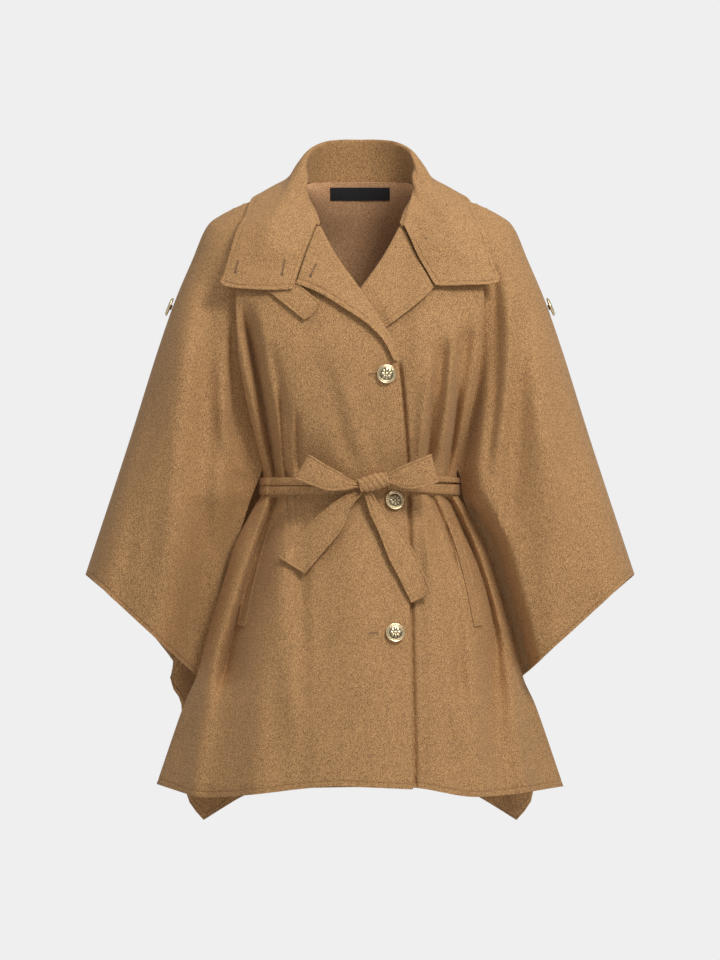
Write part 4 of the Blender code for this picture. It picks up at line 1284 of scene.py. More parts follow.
# ---- The cloth panels ----
@dataclass
class Front:
    """One front: body, skirt and wing in one cut, with a slit from the belt down."""

    side: Side
    dresser: Dresser
    wall: float = 2.0
    body_lines: int = 128
    wing_lines: int = 56
    rows_above: int = 84
    rows_below: int = 84
    share_length: float = 800.0
    seam_space: float = 0.15
    wing_edge_stretch: float = 3.6
    wing_crowding: float = 1.7
    free_at_edge: int = 4
    free_at_slit: int = 2
    flat: tuple[float, float] = (0.47, 0.86)

    def rows(self) -> np.ndarray:
        """The rows' shares of the front's length; one row lies at the top of the slit."""
        hem = EDGE.distances() / self.share_length
        above = np.linspace(0, FORM.split, self.rows_above + 1)
        below = np.linspace(FORM.split, 1 - hem[-1], self.rows_below + 1)
        return np.concatenate([above, below[1:], 1 - hem[-2::-1]])

    def from_hem(self) -> np.ndarray:
        """Each row's distance from the hem."""
        return (1 - self.rows()) * self.share_length

    def body(self) -> np.ndarray:
        """The body and skirt's face, before it is mirrored to its side."""
        v = self.rows()
        first = SplitCurve(FORM.edge_top, FORM.edge_low, FORM.split)
        last = SplitCurve(FORM.side_top, FORM.side_low, FORM.split)
        width = np.linalg.norm(last.at(v) - first.at(v), axis=1)
        near = EDGE.distances()
        u = spread(width, self.body_lines, near, near)
        v = np.broadcast_to(v[:, None], u.shape)
        hem = self.side.pick(FORM.hem_right, FORM.hem_left)
        xz = patch(first, last, Curve((FORM.edge_top[0], FORM.side_top[0])), Curve(hem), u, v)
        points = joined(xz, FORM.body_depth(xz[..., 0], xz[..., 1], self.side))
        from_edge = u * width[:, None]
        from_side = (1 - u) * width[:, None]
        from_hem = np.broadcast_to(self.from_hem()[:, None], u.shape)
        rise = np.minimum(PLAIN_EDGE.rise(from_edge), EDGE.rise(from_hem))
        below = v > FORM.split
        rise = np.where(below, np.minimum(rise, PLAIN_EDGE.rise(from_side)), rise)
        return pushed_out(points, rise, FORWARD)

    def wing(self) -> np.ndarray:
        """The wing's face, before it is mirrored to its side."""
        v = self.rows()
        low = self.side.pick(FORM.wing_low_right, FORM.wing_low_left)
        first = SplitCurve(FORM.wing_top, low, FORM.split)
        last = Curve(FORM.ridge_moved_in(FORM.seam_forward + self.seam_space))
        width = np.linalg.norm(last.at(v) - first.at(v), axis=1)
        near = EDGE.distances()
        seam = near / self.wing_edge_stretch
        u = spread(width, self.wing_lines, near, seam, self.wing_crowding)
        v = np.broadcast_to(v[:, None], u.shape)
        hem = Curve(FORM.wing_hem + (tuple(last.at(1)),))
        xz = patch(first, last, Curve((FORM.wing_top[0], tuple(last.at(0)))), hem, u, v)
        points = joined(xz, FORM.wing_depth(xz[..., 0], xz[..., 1], self.side))
        rise = np.minimum(PLAIN_EDGE.rise((1 - u) * width[:, None] * self.wing_edge_stretch),
                          EDGE.rise(np.broadcast_to(self.from_hem()[:, None], u.shape)))
        below = v > FORM.split
        rise = np.where(below, np.minimum(rise, PLAIN_EDGE.rise(u * width[:, None])), rise)
        return pushed_out(points, rise, FORWARD)

    def build(self) -> bpy.types.Object:
        """Builds and dresses the front."""
        name = f"front_{self.side.word}"
        body, wing = mirrored(self.body(), self.side), mirrored(self.wing(), self.side)
        points = np.concatenate([body, wing], axis=1)
        cut = np.zeros((points.shape[0] - 1, points.shape[1] - 1), dtype=bool)
        cut[self.rows_above:, body.shape[1] - 1] = True
        stitched = -1 - EDGE.stitch_index
        edge, slit = self.free_at_edge, self.free_at_slit
        lines = [grid_line(body, FORWARD, stitched, slice(edge, -slit)),
                 grid_line(wing, FORWARD, stitched, slice(slit, -edge)),
                 grid_line(wing, FORWARD, slice(edge, -edge), stitched)]
        return self.dresser.sewn(name, points, self.wall, lines, self.flat, Hang.HUNG,
                                 ["shoulders of the wearer"], area=grid_area(body) + grid_area(wing), cut=cut)


@dataclass
class Back:
    """The back, one panel with both wings' back halves and pointed corners."""

    dresser: Dresser
    wall: float = 2.0
    inner_lines: int = 40
    wing_lines: int = 52
    rows: int = 170
    share_length: float = 790.0
    wrap_steps: tuple[float, ...] = (0.12, 0.3, 0.5, 0.7, 0.85, 1.0)
    seam_space: float = 0.15
    tuck: float = 2.4
    tuck_in: float = 1.2
    tuck_depth: float = 2.6
    calm: float = 14.0
    # where the paler copy of the wool, painted light, covers the inner face
    inside_to: float = -270.0
    inside_half: float = 72.0
    inside_facing: float = -0.25
    flat: tuple[float, float] = (0.92, 0.86)

    def half(self, side: Side) -> np.ndarray:
        """One half of the back, from its middle out to the overarm seam.

        Args:
            side: which half.

        Returns:
            The grid of its outer face, with the rows running down.
        """
        v = EDGE.steps(self.share_length, self.rows)
        corner = Curve(FORM.back_corner)
        outer = Curve(side.pick(FORM.back_side_right, FORM.back_side_left))
        corner_neck = Curve((FORM.back_neck[0], FORM.back_neck[1], FORM.back_corner[0]))
        u, v_grid = np.meshgrid(np.linspace(0, 1, self.inner_lines), v)
        inner = patch(Curve(FORM.back_middle), corner, corner_neck, Curve(FORM.back_hem), u, v_grid)
        u, v_grid = np.meshgrid(1 - (1 - np.linspace(0, 1, self.wing_lines)) ** 2, v)
        ridge = Curve(FORM.ridge)
        wing = patch(corner, ridge, Curve((FORM.back_corner[0],) + FORM.back_neck[2:]), outer, u, v_grid)
        xz = np.concatenate([inner, wing[:, 1:]], axis=1)
        points = joined(xz, FORM.back_depth(xz[..., 0], xz[..., 1]))
        rise = EDGE.rise(np.broadcast_to(((1 - v) * self.share_length)[:, None], points.shape[:2]))
        from_ridge = np.linalg.norm(points - points[:, -1:], axis=2)
        points = pushed_out(points, rise * np.clip(from_ridge / self.calm, 0, 1), BACKWARD)
        seam = FORM.seam_forward - self.seam_space
        wrap = []
        for step in self.wrap_steps:
            line = Curve(FORM.ridge_moved_in(seam * step)).at(v)
            wrap.append(joined(line, FORM.wing_depth(line[:, 0], line[:, 1], Side.LEFT)))
        line = Curve(FORM.ridge_moved_in(seam + self.tuck)).at(v)
        tucked = joined(line, FORM.wing_depth(line[:, 0], line[:, 1], Side.LEFT))
        tucked[:, 0] -= self.tuck_in
        tucked[:, 1] += self.tuck_depth
        return mirrored(np.concatenate([points, np.stack(wrap + [tucked], axis=1)], axis=1), side)

    def build(self) -> bpy.types.Object:
        """Builds and dresses the back."""
        points = np.concatenate([self.half(Side.RIGHT)[:, :0:-1], self.half(Side.LEFT)], axis=1)
        skip = len(self.wrap_steps) + 2
        lines = [grid_line(points, BACKWARD, -1 - EDGE.stitch_index, slice(skip, -skip))]
        piece = self.dresser.sewn("back", points, self.wall, lines, self.flat, Hang.HUNG,
                                  ["shoulders of the wearer"], outward=facing(BACKWARD))
        self.paint_light_inside(piece)
        return piece

    def paint_light_inside(self, piece: bpy.types.Object) -> None:
        """Gives the inner face round the neck a paler copy of the wool: painted light, where the inside of the
        back is lit.
        """
        piece.data.materials.append(self.dresser.finishes.inside)
        for face in piece.data.polygons:
            near_neck = abs(face.center.x) / MM < self.inside_half and face.center.z / MM > self.inside_to
            face.material_index = int(face.normal.y < self.inside_facing and near_neck)


@dataclass
class Collar:
    """Stand and fall in one piece of cloth, from one front corner round the neck to the other."""

    dresser: Dresser
    wall: float = 2.0
    lines: int = 150
    roll: float = 4.0
    lift: float = 7.0
    seam_shows_from: float = 16.0
    middle: tuple[float, float, float] = (0.0, -20.0, -60.0)
    leaf_from: float = 0.34
    leaf_fade: float = 0.06
    stitched_from: float = 0.45
    flat: tuple[float, float] = (0.62, 0.19)
    # start, end and number of the steps across the stand, the roll and the fall
    bands: Rows = ((0, 0.28, 14), (0.29, 0.46, 20), (0.48, 1, 26))
    # seam, roll, mid and edge points of each section: x y z four times
    back_sections: Rows = (
        (0, 58, 23.6, 0, 53, 78, 0, 68, 46, 0, 78, 2), (24, 55, 23.2, 22, 49, 78, 32, 63, 46, 44, 75, 2),
        (48, 44, 22.5, 44, 36, 76, 64, 50, 43, 86, 58, 4), (66, 26, 21.8, 60, 20, 69, 86, 27, 34, 122, 32, 8))
    right_sections: Rows = (
        (71, 4, 18.5, 69, 2, 58, 97, 2, 25, 140, 0, 3), (68, -14, 9, 69, -17, 30, 106, -40, 0, 149, -36, -18),
        (64, -30, -1, 67, -35, 4, 116, -76, -28, 161, -66, -42),
        (58.3, -45, -11.5, 62, -52, -10, 116, -90, -52, 175, -84, -90),
        (55.2, -52, -19, 59.5, -58, -19, 104, -94, -66, 179, -92, -110),
        (53.3, -57, -25, 57, -63, -26, 90, -93, -70, 130, -104, -116),
        (51.8, -61, -29, 55, -66, -31, 73, -86, -70, 88, -108, -116))
    left_sections: Rows = (
        (71, 4, 18.5, 69, 2, 58, 97, 2, 25, 140, 0, 3), (68, -14, 9, 69, -17, 30, 106, -40, 2, 150, -36, -16),
        (64, -30, -1, 67, -35, 4, 118, -74, -28, 162, -64, -42),
        (58.3, -45, -11.5, 62, -52, -10, 118, -88, -52, 174, -82, -84),
        (55.2, -52, -19, 59.5, -58, -19, 106, -92, -64, 180, -90, -106),
        (53.3, -57, -25, 57, -63, -26, 94, -92, -70, 136, -102, -110),
        (51.8, -61, -29, 55, -66, -32, 75, -86, -71, 98, -106, -111))

    def sections(self, side: Side) -> list[np.ndarray]:
        """Half the collar's sections, with the leaf seated in front of the chest.

        Args:
            side: which half.

        Returns:
            The sections from the middle of the back to the leaf's corner, four places each.
        """
        seated = []
        for row in self.back_sections + side.pick(self.right_sections, self.left_sections):
            section = np.array(row, dtype=float).reshape(4, 3)
            for point in section[2:]:
                if point[2] < 0 and point[1] < 0:
                    chest = FORM.chest_depth(point[:1], point[2:], Side.RIGHT)[0]
                    point[1] = min(point[1], chest - self.lift)
            section[:, 0] *= side.value
            seated.append(section)
        return seated

    def path(self, section: np.ndarray) -> Curve:
        """The line across the collar: up the stand, round the roll and down the fall.

        Args:
            section: its seam, roll, mid and edge places.

        Returns:
            The line.
        """
        seam, roll, mid, edge = section
        out = (mid - roll) * np.array([1.0, 1.0, 0.0])
        out = out / np.linalg.norm(out) * self.roll
        up = np.array([0.0, 0.0, self.roll * 0.6])
        return Curve([seam, (seam + roll) / 2 - up * 0.3, roll - out * 0.5 - up, roll + out * 0.2,
                      roll + out * 1.4 - up * 1.3, (roll + mid) / 2 + out * 0.6, mid, (mid + edge) / 2, edge])

    def build(self) -> bpy.types.Object:
        """Builds and dresses the collar."""
        sections = self.sections(Side.RIGHT)[:0:-1] + self.sections(Side.LEFT)
        paths = [self.path(section) for section in sections]
        near = EDGE.distances()
        length = np.mean([path.length for path in paths[2:-2]])
        last = 1 - near[-1] / length
        bands = [np.linspace(start, min(end, last), int(count)) for start, end, count in self.bands]
        shares = np.concatenate(bands + [1 - near[-2::-1] / length])
        rings = np.stack([path.at(shares) for path in paths])
        along_length = Curve(rings[:, -1]).length
        along = spread(np.array([along_length]), self.lines, near, near)[0]
        points = np.stack([Curve(rings[:, step]).at(along) for step in range(len(shares))], axis=1)
        lengths = np.linalg.norm(np.diff(points, axis=1), axis=2).sum(axis=1)
        from_edge = (1 - shares)[None, :] * lengths[:, None]
        ends = np.minimum(along, 1 - along) * along_length
        outward = points - self.middle
        leaf = smooth_step((shares - self.leaf_from) / self.leaf_fade)
        rise = np.minimum(EDGE.rise(from_edge), np.where(leaf > 0, EDGE.rise(ends[:, None]) * leaf, EDGE.lip))
        points = pushed_out(points, rise, outward)
        start = int(np.argmax(shares > self.stitched_from))
        stitched = -1 - EDGE.stitch_index
        lines = [grid_line(points, outward, slice(EDGE.stitch_index, stitched + 1), stitched),
                 grid_line(points, outward, EDGE.stitch_index, slice(start, stitched + 1)),
                 grid_line(points, outward, stitched, slice(start, stitched + 1))]
        piece = self.dresser.sewn("collar", points, self.wall, lines, self.flat, Hang.FOLDED,
                                  ["back_cloth", "front_left_cloth"], outward=lambda c: c - self.middle)
        # dark stitches along the collar's seam at the back of the neck: painted shade for the seam's dark line
        behind = np.flatnonzero(points[:, 0, 2] > self.seam_shows_from)
        seam = grid_line(points, FORWARD, slice(behind[0], behind[-1] + 1), 0)
        self.dresser.place(SEAM_SHADE_THREAD.sew("neck_seam_shade", [seam]), self.dresser.finishes.shadow, "wool")
        return piece


NARROW_EDGE = SewnEdge(stitch=3.4, lip=0.5, groove=0.6, groove_width=0.6, round_over=1.0, drop=0.8)


@dataclass
class Lapel:
    """One lapel, turned back over its front along the fold edge."""

    side: Side
    dresser: Dresser
    roll: Rows
    top: Rows
    outer: Rows
    low: Rows
    flat: tuple[float, float]
    wall: float = 2.0
    seat: float = 1.2
    rise: float = 4.0
    free: float = 22.0
    edge_full: float = 20.0
    clearance: float = 0.2
    curl: float = 4.8
    curl_lines: int = 7
    lines: int = 26
    rows: int = 70

    def build(self) -> bpy.types.Object:
        """Builds and dresses the lapel."""
        near = EDGE.distances()
        outer, roll = Curve(self.outer), Curve(self.roll)
        v = EDGE.steps(outer.length, self.rows)
        width = np.linalg.norm(outer.at(v) - roll.at(v), axis=1)
        u = spread(width, self.lines, np.array([0.0, 1.0]), near)
        v_grid = np.broadcast_to(v[:, None], u.shape)
        xz = patch(roll, outer, Curve(self.top), Curve(self.low), u, v_grid)
        x, z = xz[..., 0], xz[..., 1]
        base = FORM.body_depth(x, z, self.side)
        lift = self.wall + self.seat + self.rise * smooth_step(u) * np.sqrt(smooth_step((v_grid + 0.2) * 2))
        if self.side is Side.LEFT:
            under = smooth_step((self.free - FORM.edge_x(z) - x) / self.free * 1.4)
            lift = lift * (1 - under) + (self.wall + self.seat) * under
        points = joined(xz, base - lift)
        edge = EDGE.rise((1 - u) * width[:, None])
        if self.side is Side.LEFT:
            edge = np.minimum(edge, EDGE.rise((1 - v_grid) * outer.length))
        points = pushed_out(points, edge * smooth_step(width / self.edge_full)[:, None], FORWARD)
        turn = np.linspace(0, math.pi / 2, self.curl_lines, endpoint=False)[None, :]
        first = points[:, :1]
        depth = (base[:, :1] - self.clearance) - first[..., 1]
        curl = np.repeat(first, self.curl_lines, axis=1)
        curl[..., 0] -= self.curl * np.cos(turn)
        curl[..., 1] = first[..., 1] + depth * (1 - np.sin(turn))
        points = mirrored(np.concatenate([curl, points], axis=1), self.side)
        name = f"lapel_{self.side.word}"
        last = self.side.pick(-6, -1 - EDGE.stitch_index)
        lines = [grid_line(points, FORWARD, slice(2, last), -1 - EDGE.stitch_index)]
        if self.side is Side.LEFT:
            lines.append(grid_line(points, FORWARD, last, slice(self.curl_lines + 2, -1 - EDGE.stitch_index)))
        return self.dresser.sewn(name, points, self.wall, lines, self.flat, Hang.FOLDED,
                                 [f"front_{self.side.word}_cloth"])


@dataclass
class Strip:
    """A narrow sewn strip that lies on a front: the throat tab or a pocket's welt."""

    name: str
    side: Side
    dresser: Dresser
    axis: Rows
    half_width: float
    flat: tuple[float, float]
    wall: float = 2.0
    gap: float = 0.5
    tip: float = 0.0
    tip_loss: float = 0.62
    lines: int = 6
    slot: str = "wool"
    rows: int = 40

    def places(self) -> tuple[np.ndarray, np.ndarray]:
        """The strip's (x, z) places and each one's distance from the nearest edge."""
        near = NARROW_EDGE.distances()
        line = Curve(self.axis)
        ends = near / line.length
        even = np.linspace(ends[-1], 1 - ends[-1], self.rows)
        shares = np.concatenate([ends[:-1], even, 1 - ends[-2::-1]])
        places = line.at(shares)
        along = np.gradient(places, axis=0)
        along /= np.linalg.norm(along, axis=1)[:, None]
        sideways = np.stack([-along[:, 1], along[:, 0]], axis=1)
        width = np.full(len(shares), self.half_width)
        if self.tip:
            left_over = (1 - shares) * line.length
            width = self.half_width * (1 - self.tip_loss * np.clip(1 - left_over / self.tip, 0, 1))
        across = spread(2 * width, self.lines, near, near) * 2 - 1
        xz = places[:, None] + sideways[:, None] * (across * width[:, None])[..., None]
        from_side = (1 - np.abs(across)) * width[:, None]
        from_end = (np.minimum(shares, 1 - shares) * line.length)[:, None]
        return xz, np.minimum(from_side, from_end)

    def build(self) -> bpy.types.Object:
        """Builds and dresses the strip."""
        xz, distance = self.places()
        points = joined(xz, FORM.body_depth(xz[..., 0], xz[..., 1], self.side) - self.wall - self.gap)
        points = mirrored(pushed_out(points, NARROW_EDGE.rise(distance), FORWARD), self.side)
        index = NARROW_EDGE.stitch_index
        inside = slice(index, -index)
        lines = [grid_line(points, FORWARD, inside, index), grid_line(points, FORWARD, inside, -1 - index),
                 grid_line(points, FORWARD, -1 - index, inside)]
        return self.dresser.sewn(self.name, points, self.wall, lines, self.flat, Hang.LAID,
                                 [f"front_{self.side.word}_cloth"], self.slot)


@dataclass
class Label:
    """A bare woven label inside the back of the neck, sewn at its two ends."""

    dresser: Dresser
    width: float = 77.0
    height: float = 17.0
    top: float = 16.0
    wall: float = 0.6
    gap: float = 3.4
    stitch_lift: float = 0.25
    columns: int = 60
    rows: int = 16
    flat: tuple[float, float] = (0.077, 0.017)

    def build(self) -> bpy.types.Object:
        """Builds and dresses the label."""
        x, z = np.meshgrid(np.linspace(-self.width / 2, self.width / 2, self.columns),
                           np.linspace(self.top, self.top - self.height, self.rows))
        y = FORM.back_depth(np.abs(x), z) - self.gap
        points = np.stack([x, y, z], axis=-1)
        piece = cloth_grid("label_cloth", points, facing(FORWARD), self.wall)
        raised = points + FORWARD * self.stitch_lift
        lines = [grid_line(raised, FORWARD, slice(None), column) for column in (1, -2)]
        sewing = self.dresser.place(LABEL_THREAD.sew("label_stitches", lines), self.dresser.finishes.black,
                                    "label_cloth")
        self.dresser.place(piece, self.dresser.finishes.black, "label_cloth", "label")
        return piece


# ---- Belt and bow ----
@dataclass
class BeltStretch:
    """One fold of the belt, from the bow round to the side."""

    name: str
    side: Side
    dresser: Dresser
    x_from: float
    top: float
    low: float
    side_top: float
    side_low: float
    wall: float = 1.8
    thickness: float = 3.4
    side_end: tuple[float, float] = (131.5, -6.0)
    turn_x: float = 116.0
    steps: int = 70
    turn_steps: int = 14
    lines: int = 17
    sunk: float = 0.6
    lean: float = 0.8
    rounding: float = 2.2
    # each ripple's height, its radians a millimetre, and how much of the top's height is its phase
    ripples: Rows = ((0.35, 0.11, 1), (0.25, 0.29, 0))
    side_run: float = 45.0
    cut_width: float = 0.016

    def build(self) -> bpy.types.Object:
        """Builds and dresses the stretch."""
        share = np.linspace(0, 1, self.steps + self.turn_steps)
        across = (1 - np.cos(np.linspace(0, math.pi, self.lines))) / 2
        top = self.top + (self.side_top - self.top) * share
        low = self.low + (self.side_low - self.low) * share
        z = top[:, None] + (low - top)[:, None] * across[None, :]
        x = np.repeat(np.linspace(self.x_from, self.turn_x, self.steps)[:, None], len(across), axis=1)
        base = FORM.body_depth(x, np.full_like(x, z.mean()), Side.RIGHT, False) - self.sunk
        slope = np.gradient(base, axis=0) / np.gradient(x, axis=0)
        stand = self.thickness / np.sqrt(1 + slope**2)
        out_x, out_y = x + stand * slope * self.lean, base - stand
        turn = np.linspace(0, math.pi / 2, self.turn_steps + 1)[1:, None]
        turn_x = out_x[-1] + (self.side_end[0] - out_x[-1]) * np.sin(turn)
        turn_y = self.side_end[1] + (out_y[-1] - self.side_end[1]) * np.cos(turn)
        out_x, out_y = np.concatenate([out_x, turn_x]), np.concatenate([out_y, turn_y])
        rounded = self.rounding * (1 - np.sqrt(np.clip(1 - np.abs(2 * across - 1) ** 3, 0, 1)))
        ripple = sum(size * np.sin(out_x * rate + self.top * phase) for size, rate, phase in self.ripples)
        out_y = out_y + rounded[None, :] + ripple * np.sin(across * math.pi)[None, :]
        points = mirrored(np.stack([out_x, out_y, z], axis=-1), self.side)
        piece = cloth_grid(f"{self.name}_cloth", points, lambda c: c * np.array([1.0, 1.0, 0.0]) - [0, 20, 0],
                           self.wall)
        length = (abs(self.turn_x - self.x_from) + self.side_run) * MM
        return self.dresser.cloth(piece, (length, self.cut_width), grid_area(points), Hang.FOLDED,
                                  ["front_right_cloth", "front_left_cloth"], self.name)


@dataclass
class BeltBack:
    """The belt's stretch round the wearer's back, inside the cape."""

    dresser: Dresser
    path: Rows = ((131.5, -5.5), (128, 22), (110, 58), (70, 88), (0, 99))
    top: float = -361.0
    low: float = -384.0
    wall: float = 3.0
    rows: int = 50
    lines: int = 4
    flat: tuple[float, float] = (0.36, 0.023)

    def build(self) -> bpy.types.Object:
        """Builds and dresses the stretch."""
        half = Curve(self.path).at(np.linspace(0, 1, self.rows))
        path = np.concatenate([half * np.array([-1, 1]), half[-2::-1]])
        near = NARROW_EDGE.distances()
        height = self.top - self.low
        across = spread(np.array([height]), self.lines, near, near)[0]
        z = np.broadcast_to(self.top - across[None, :] * height, (len(path), len(across)))
        points = np.stack([np.repeat(path[:, None, 0], len(across), axis=1),
                           np.repeat(path[:, None, 1], len(across), axis=1), z], axis=-1)
        middle = np.array([0.0, 0.0, points[..., 2].mean()])
        distance = np.broadcast_to(np.minimum(across, 1 - across)[None, :] * height, points.shape[:2])
        points = pushed_out(points, NARROW_EDGE.rise(distance), points - middle)
        index = NARROW_EDGE.stitch_index
        lines = [grid_line(points, points - middle, slice(None), index),
                 grid_line(points, points - middle, slice(None), -1 - index)]
        return self.dresser.sewn("belt_back", points, self.wall, lines, self.flat, Hang.DRAPED,
                                 ["back_cloth"], outward=lambda c: (c - middle) * [1, 1, 0])


@dataclass
class Ribbon:
    """One loop or tail of the bow: a row of rungs from one edge (a) to the other (b), with a lift forward."""

    name: str
    dresser: Dresser
    rungs: Rows
    flat: tuple[float, float]
    is_loop: bool
    wall: float = 2.2
    rows: int = 84
    belt_front: float = -115.5
    pleat: float = 1.3
    pleat_fade: float = 16.0
    pleats: float = 2.4
    pleat_phase: float = 0.6
    overlap_end: float = 56.0
    gap: float = 0.9
    swell_full: float = 30.0
    tail_swell: float = 0.6
    edge_full: float = 12.0
    plain_rows: int = 16
    lines: int = 12

    def build(self) -> bpy.types.Object:
        """Builds and dresses the ribbon."""
        first = Curve([(ax, self.belt_front - lift, az) for ax, az, _bx, _bz, lift in self.rungs])
        last = Curve([(bx, self.belt_front - lift, bz) for _ax, _az, bx, bz, lift in self.rungs])
        near = NARROW_EDGE.distances()
        length = (first.length + last.length) / 2
        if self.is_loop:
            shares = np.linspace(0, 1, self.rows)
        else:
            shares = NARROW_EDGE.steps(length, self.rows)
        width = np.linalg.norm(first.at(shares) - last.at(shares), axis=1)
        blend = spread(width, self.lines, near, near)
        points = first.at(shares)[:, None] * (1 - blend[..., None])
        points = points + last.at(shares)[:, None] * blend[..., None]
        if not self.is_loop:
            lifts = Curve([(lift, 0) for *_edge, lift in self.rungs]).at(shares)[:, :1]
            x = np.where(points[..., 0] > self.overlap_end, points[..., 0], -points[..., 0])
            under = np.minimum(FORM.body_depth(x, points[..., 2], Side.RIGHT, False),
                               FORM.body_depth(x, points[..., 2], Side.RIGHT))
            points[..., 1] = under - self.wall - self.gap - lifts
        run = shares * length
        from_knot = np.minimum(run, length - run) if self.is_loop else run
        sign = np.where(run < length / 2, 1.0, -1.0) if self.is_loop else np.ones_like(run)
        wave = np.cos(2 * math.pi * self.pleats * blend + self.pleat_phase)
        fading = self.pleat * np.exp(-from_knot / self.pleat_fade) * sign
        points[..., 1] -= fading[:, None] * wave
        sag = np.sin(blend * math.pi) * np.clip(from_knot / self.swell_full, 0, 1)[:, None] * sign[:, None]
        points[..., 1] -= sag if self.is_loop else self.tail_swell * sag
        distance = np.minimum(blend, 1 - blend) * width[:, None]
        if not self.is_loop:
            distance = np.minimum(distance, (length - run)[:, None])
        out = np.broadcast_to(FORWARD, points.shape)
        if self.is_loop:
            middle = points[..., 1].mean()
            out = (points - np.array([0.0, middle, 0.0])) * np.array([0.0, 1.0, 0.0])
        fit = smooth_step(width / self.edge_full)[:, None]
        points = pushed_out(points, NARROW_EDGE.rise(distance) * fit, out)
        index = NARROW_EDGE.stitch_index
        run_of_rows = slice(self.plain_rows, -self.plain_rows if self.is_loop else -1 - index)
        lines = [grid_line(points, out, run_of_rows, column) for column in (index, -1 - index)]
        if not self.is_loop:
            lines.append(grid_line(points, out, -1 - index, slice(index, -index)))
        outward = (lambda c: (c - [0, middle, 0]) * [0, 1, 0]) if self.is_loop else None
        return self.dresser.sewn(self.name, points, self.wall, lines, self.flat, Hang.FOLDED,
                                 ["bow_knot_cloth"], outward=outward)


@dataclass
class Knot:
    """The knot, a creased sleeve of the belt that the loops go into."""

    dresser: Dresser
    centre: tuple[float, float] = (18.0, -367.0)
    tilt: float = 14.0
    half: tuple[float, float, float] = (19.5, 8.4, 11.0)
    lift: float = 10.2
    crease: float = 1.5
    twist: float = 8.0
    squareness: float = 0.8
    belt_front: float = -115.5
    wall: float = 2.2
    rows: int = 70
    lines: int = 121
    flat: tuple[float, float] = (0.064, 0.038)

    def build(self) -> bpy.types.Object:
        """Builds and dresses the knot."""
        half_width, half_depth, half_height = self.half
        tilt = math.radians(self.tilt)
        centre_y = self.belt_front - self.lift
        along, around = np.meshgrid(np.linspace(-1, 1, self.rows), np.linspace(0, math.tau, self.lines),
                                    indexing="ij")
        wave = along * self.twist + around + 0.7 * np.sin(around * 2)
        creases = np.abs(np.cos(wave)) ** 0.7
        swell = 1.02 - 0.2 * along**2 - self.crease / half_height * (1 - creases)
        depth, height = (half * swell * np.sign(wave) * np.abs(wave) ** self.squareness
                         for half, wave in ((half_depth, np.cos(around)), (half_height, np.sin(around))))
        x = self.centre[0] + along * half_width * math.cos(tilt) - height * math.sin(tilt)
        z = self.centre[1] + along * half_width * math.sin(tilt) + height * math.cos(tilt)
        points = np.stack([x, centre_y - depth, z], axis=-1)
        middle = np.array([self.centre[0], centre_y, self.centre[1]])
        piece = cloth_grid("bow_knot_cloth", points, lambda c: c - middle, self.wall, closed=True)
        return self.dresser.cloth(piece, self.flat, grid_area(points), Hang.FOLDED,
                                  ["belt_right_lower_cloth"], "bow_knot")


# ---- Buttons, buttonholes and thread marks ----
VIEWER_Y = -400.0
# the rim and shank, as shares of the button's radius and height
BUTTON_RIM = ((0.885, 0.84), (0.91, 0.86), (0.94, 0.87), (0.97, 0.84), (0.99, 0.76), (1.0, 0.65),
              (0.99, 0.52), (0.95, 0.43), (0.7, 0.37), (0.3, 0.34), (0.26, 0.2), (0.26, 0.0), (0.0, 0.0))


class Surface:
    """A finished piece's face, seen from the front."""

    def __init__(self, piece: bpy.types.Object) -> None:
        """Keeps the piece's faces in millimetres."""
        faces = [tuple(face.vertices) for face in piece.data.polygons]
        self.tree = BVHTree.FromPolygons((vertex_places(piece) / MM).tolist(), faces)

    def hit(self, x: float, z: float) -> tuple[np.ndarray, np.ndarray]:
        """The nearest place to the viewer at (x, z), and its direction out."""
        place, normal, _face, _distance = self.tree.ray_cast(Vector((x, VIEWER_Y, z)), Vector((0, 1, 0)))
        return np.array(place), np.array(normal)


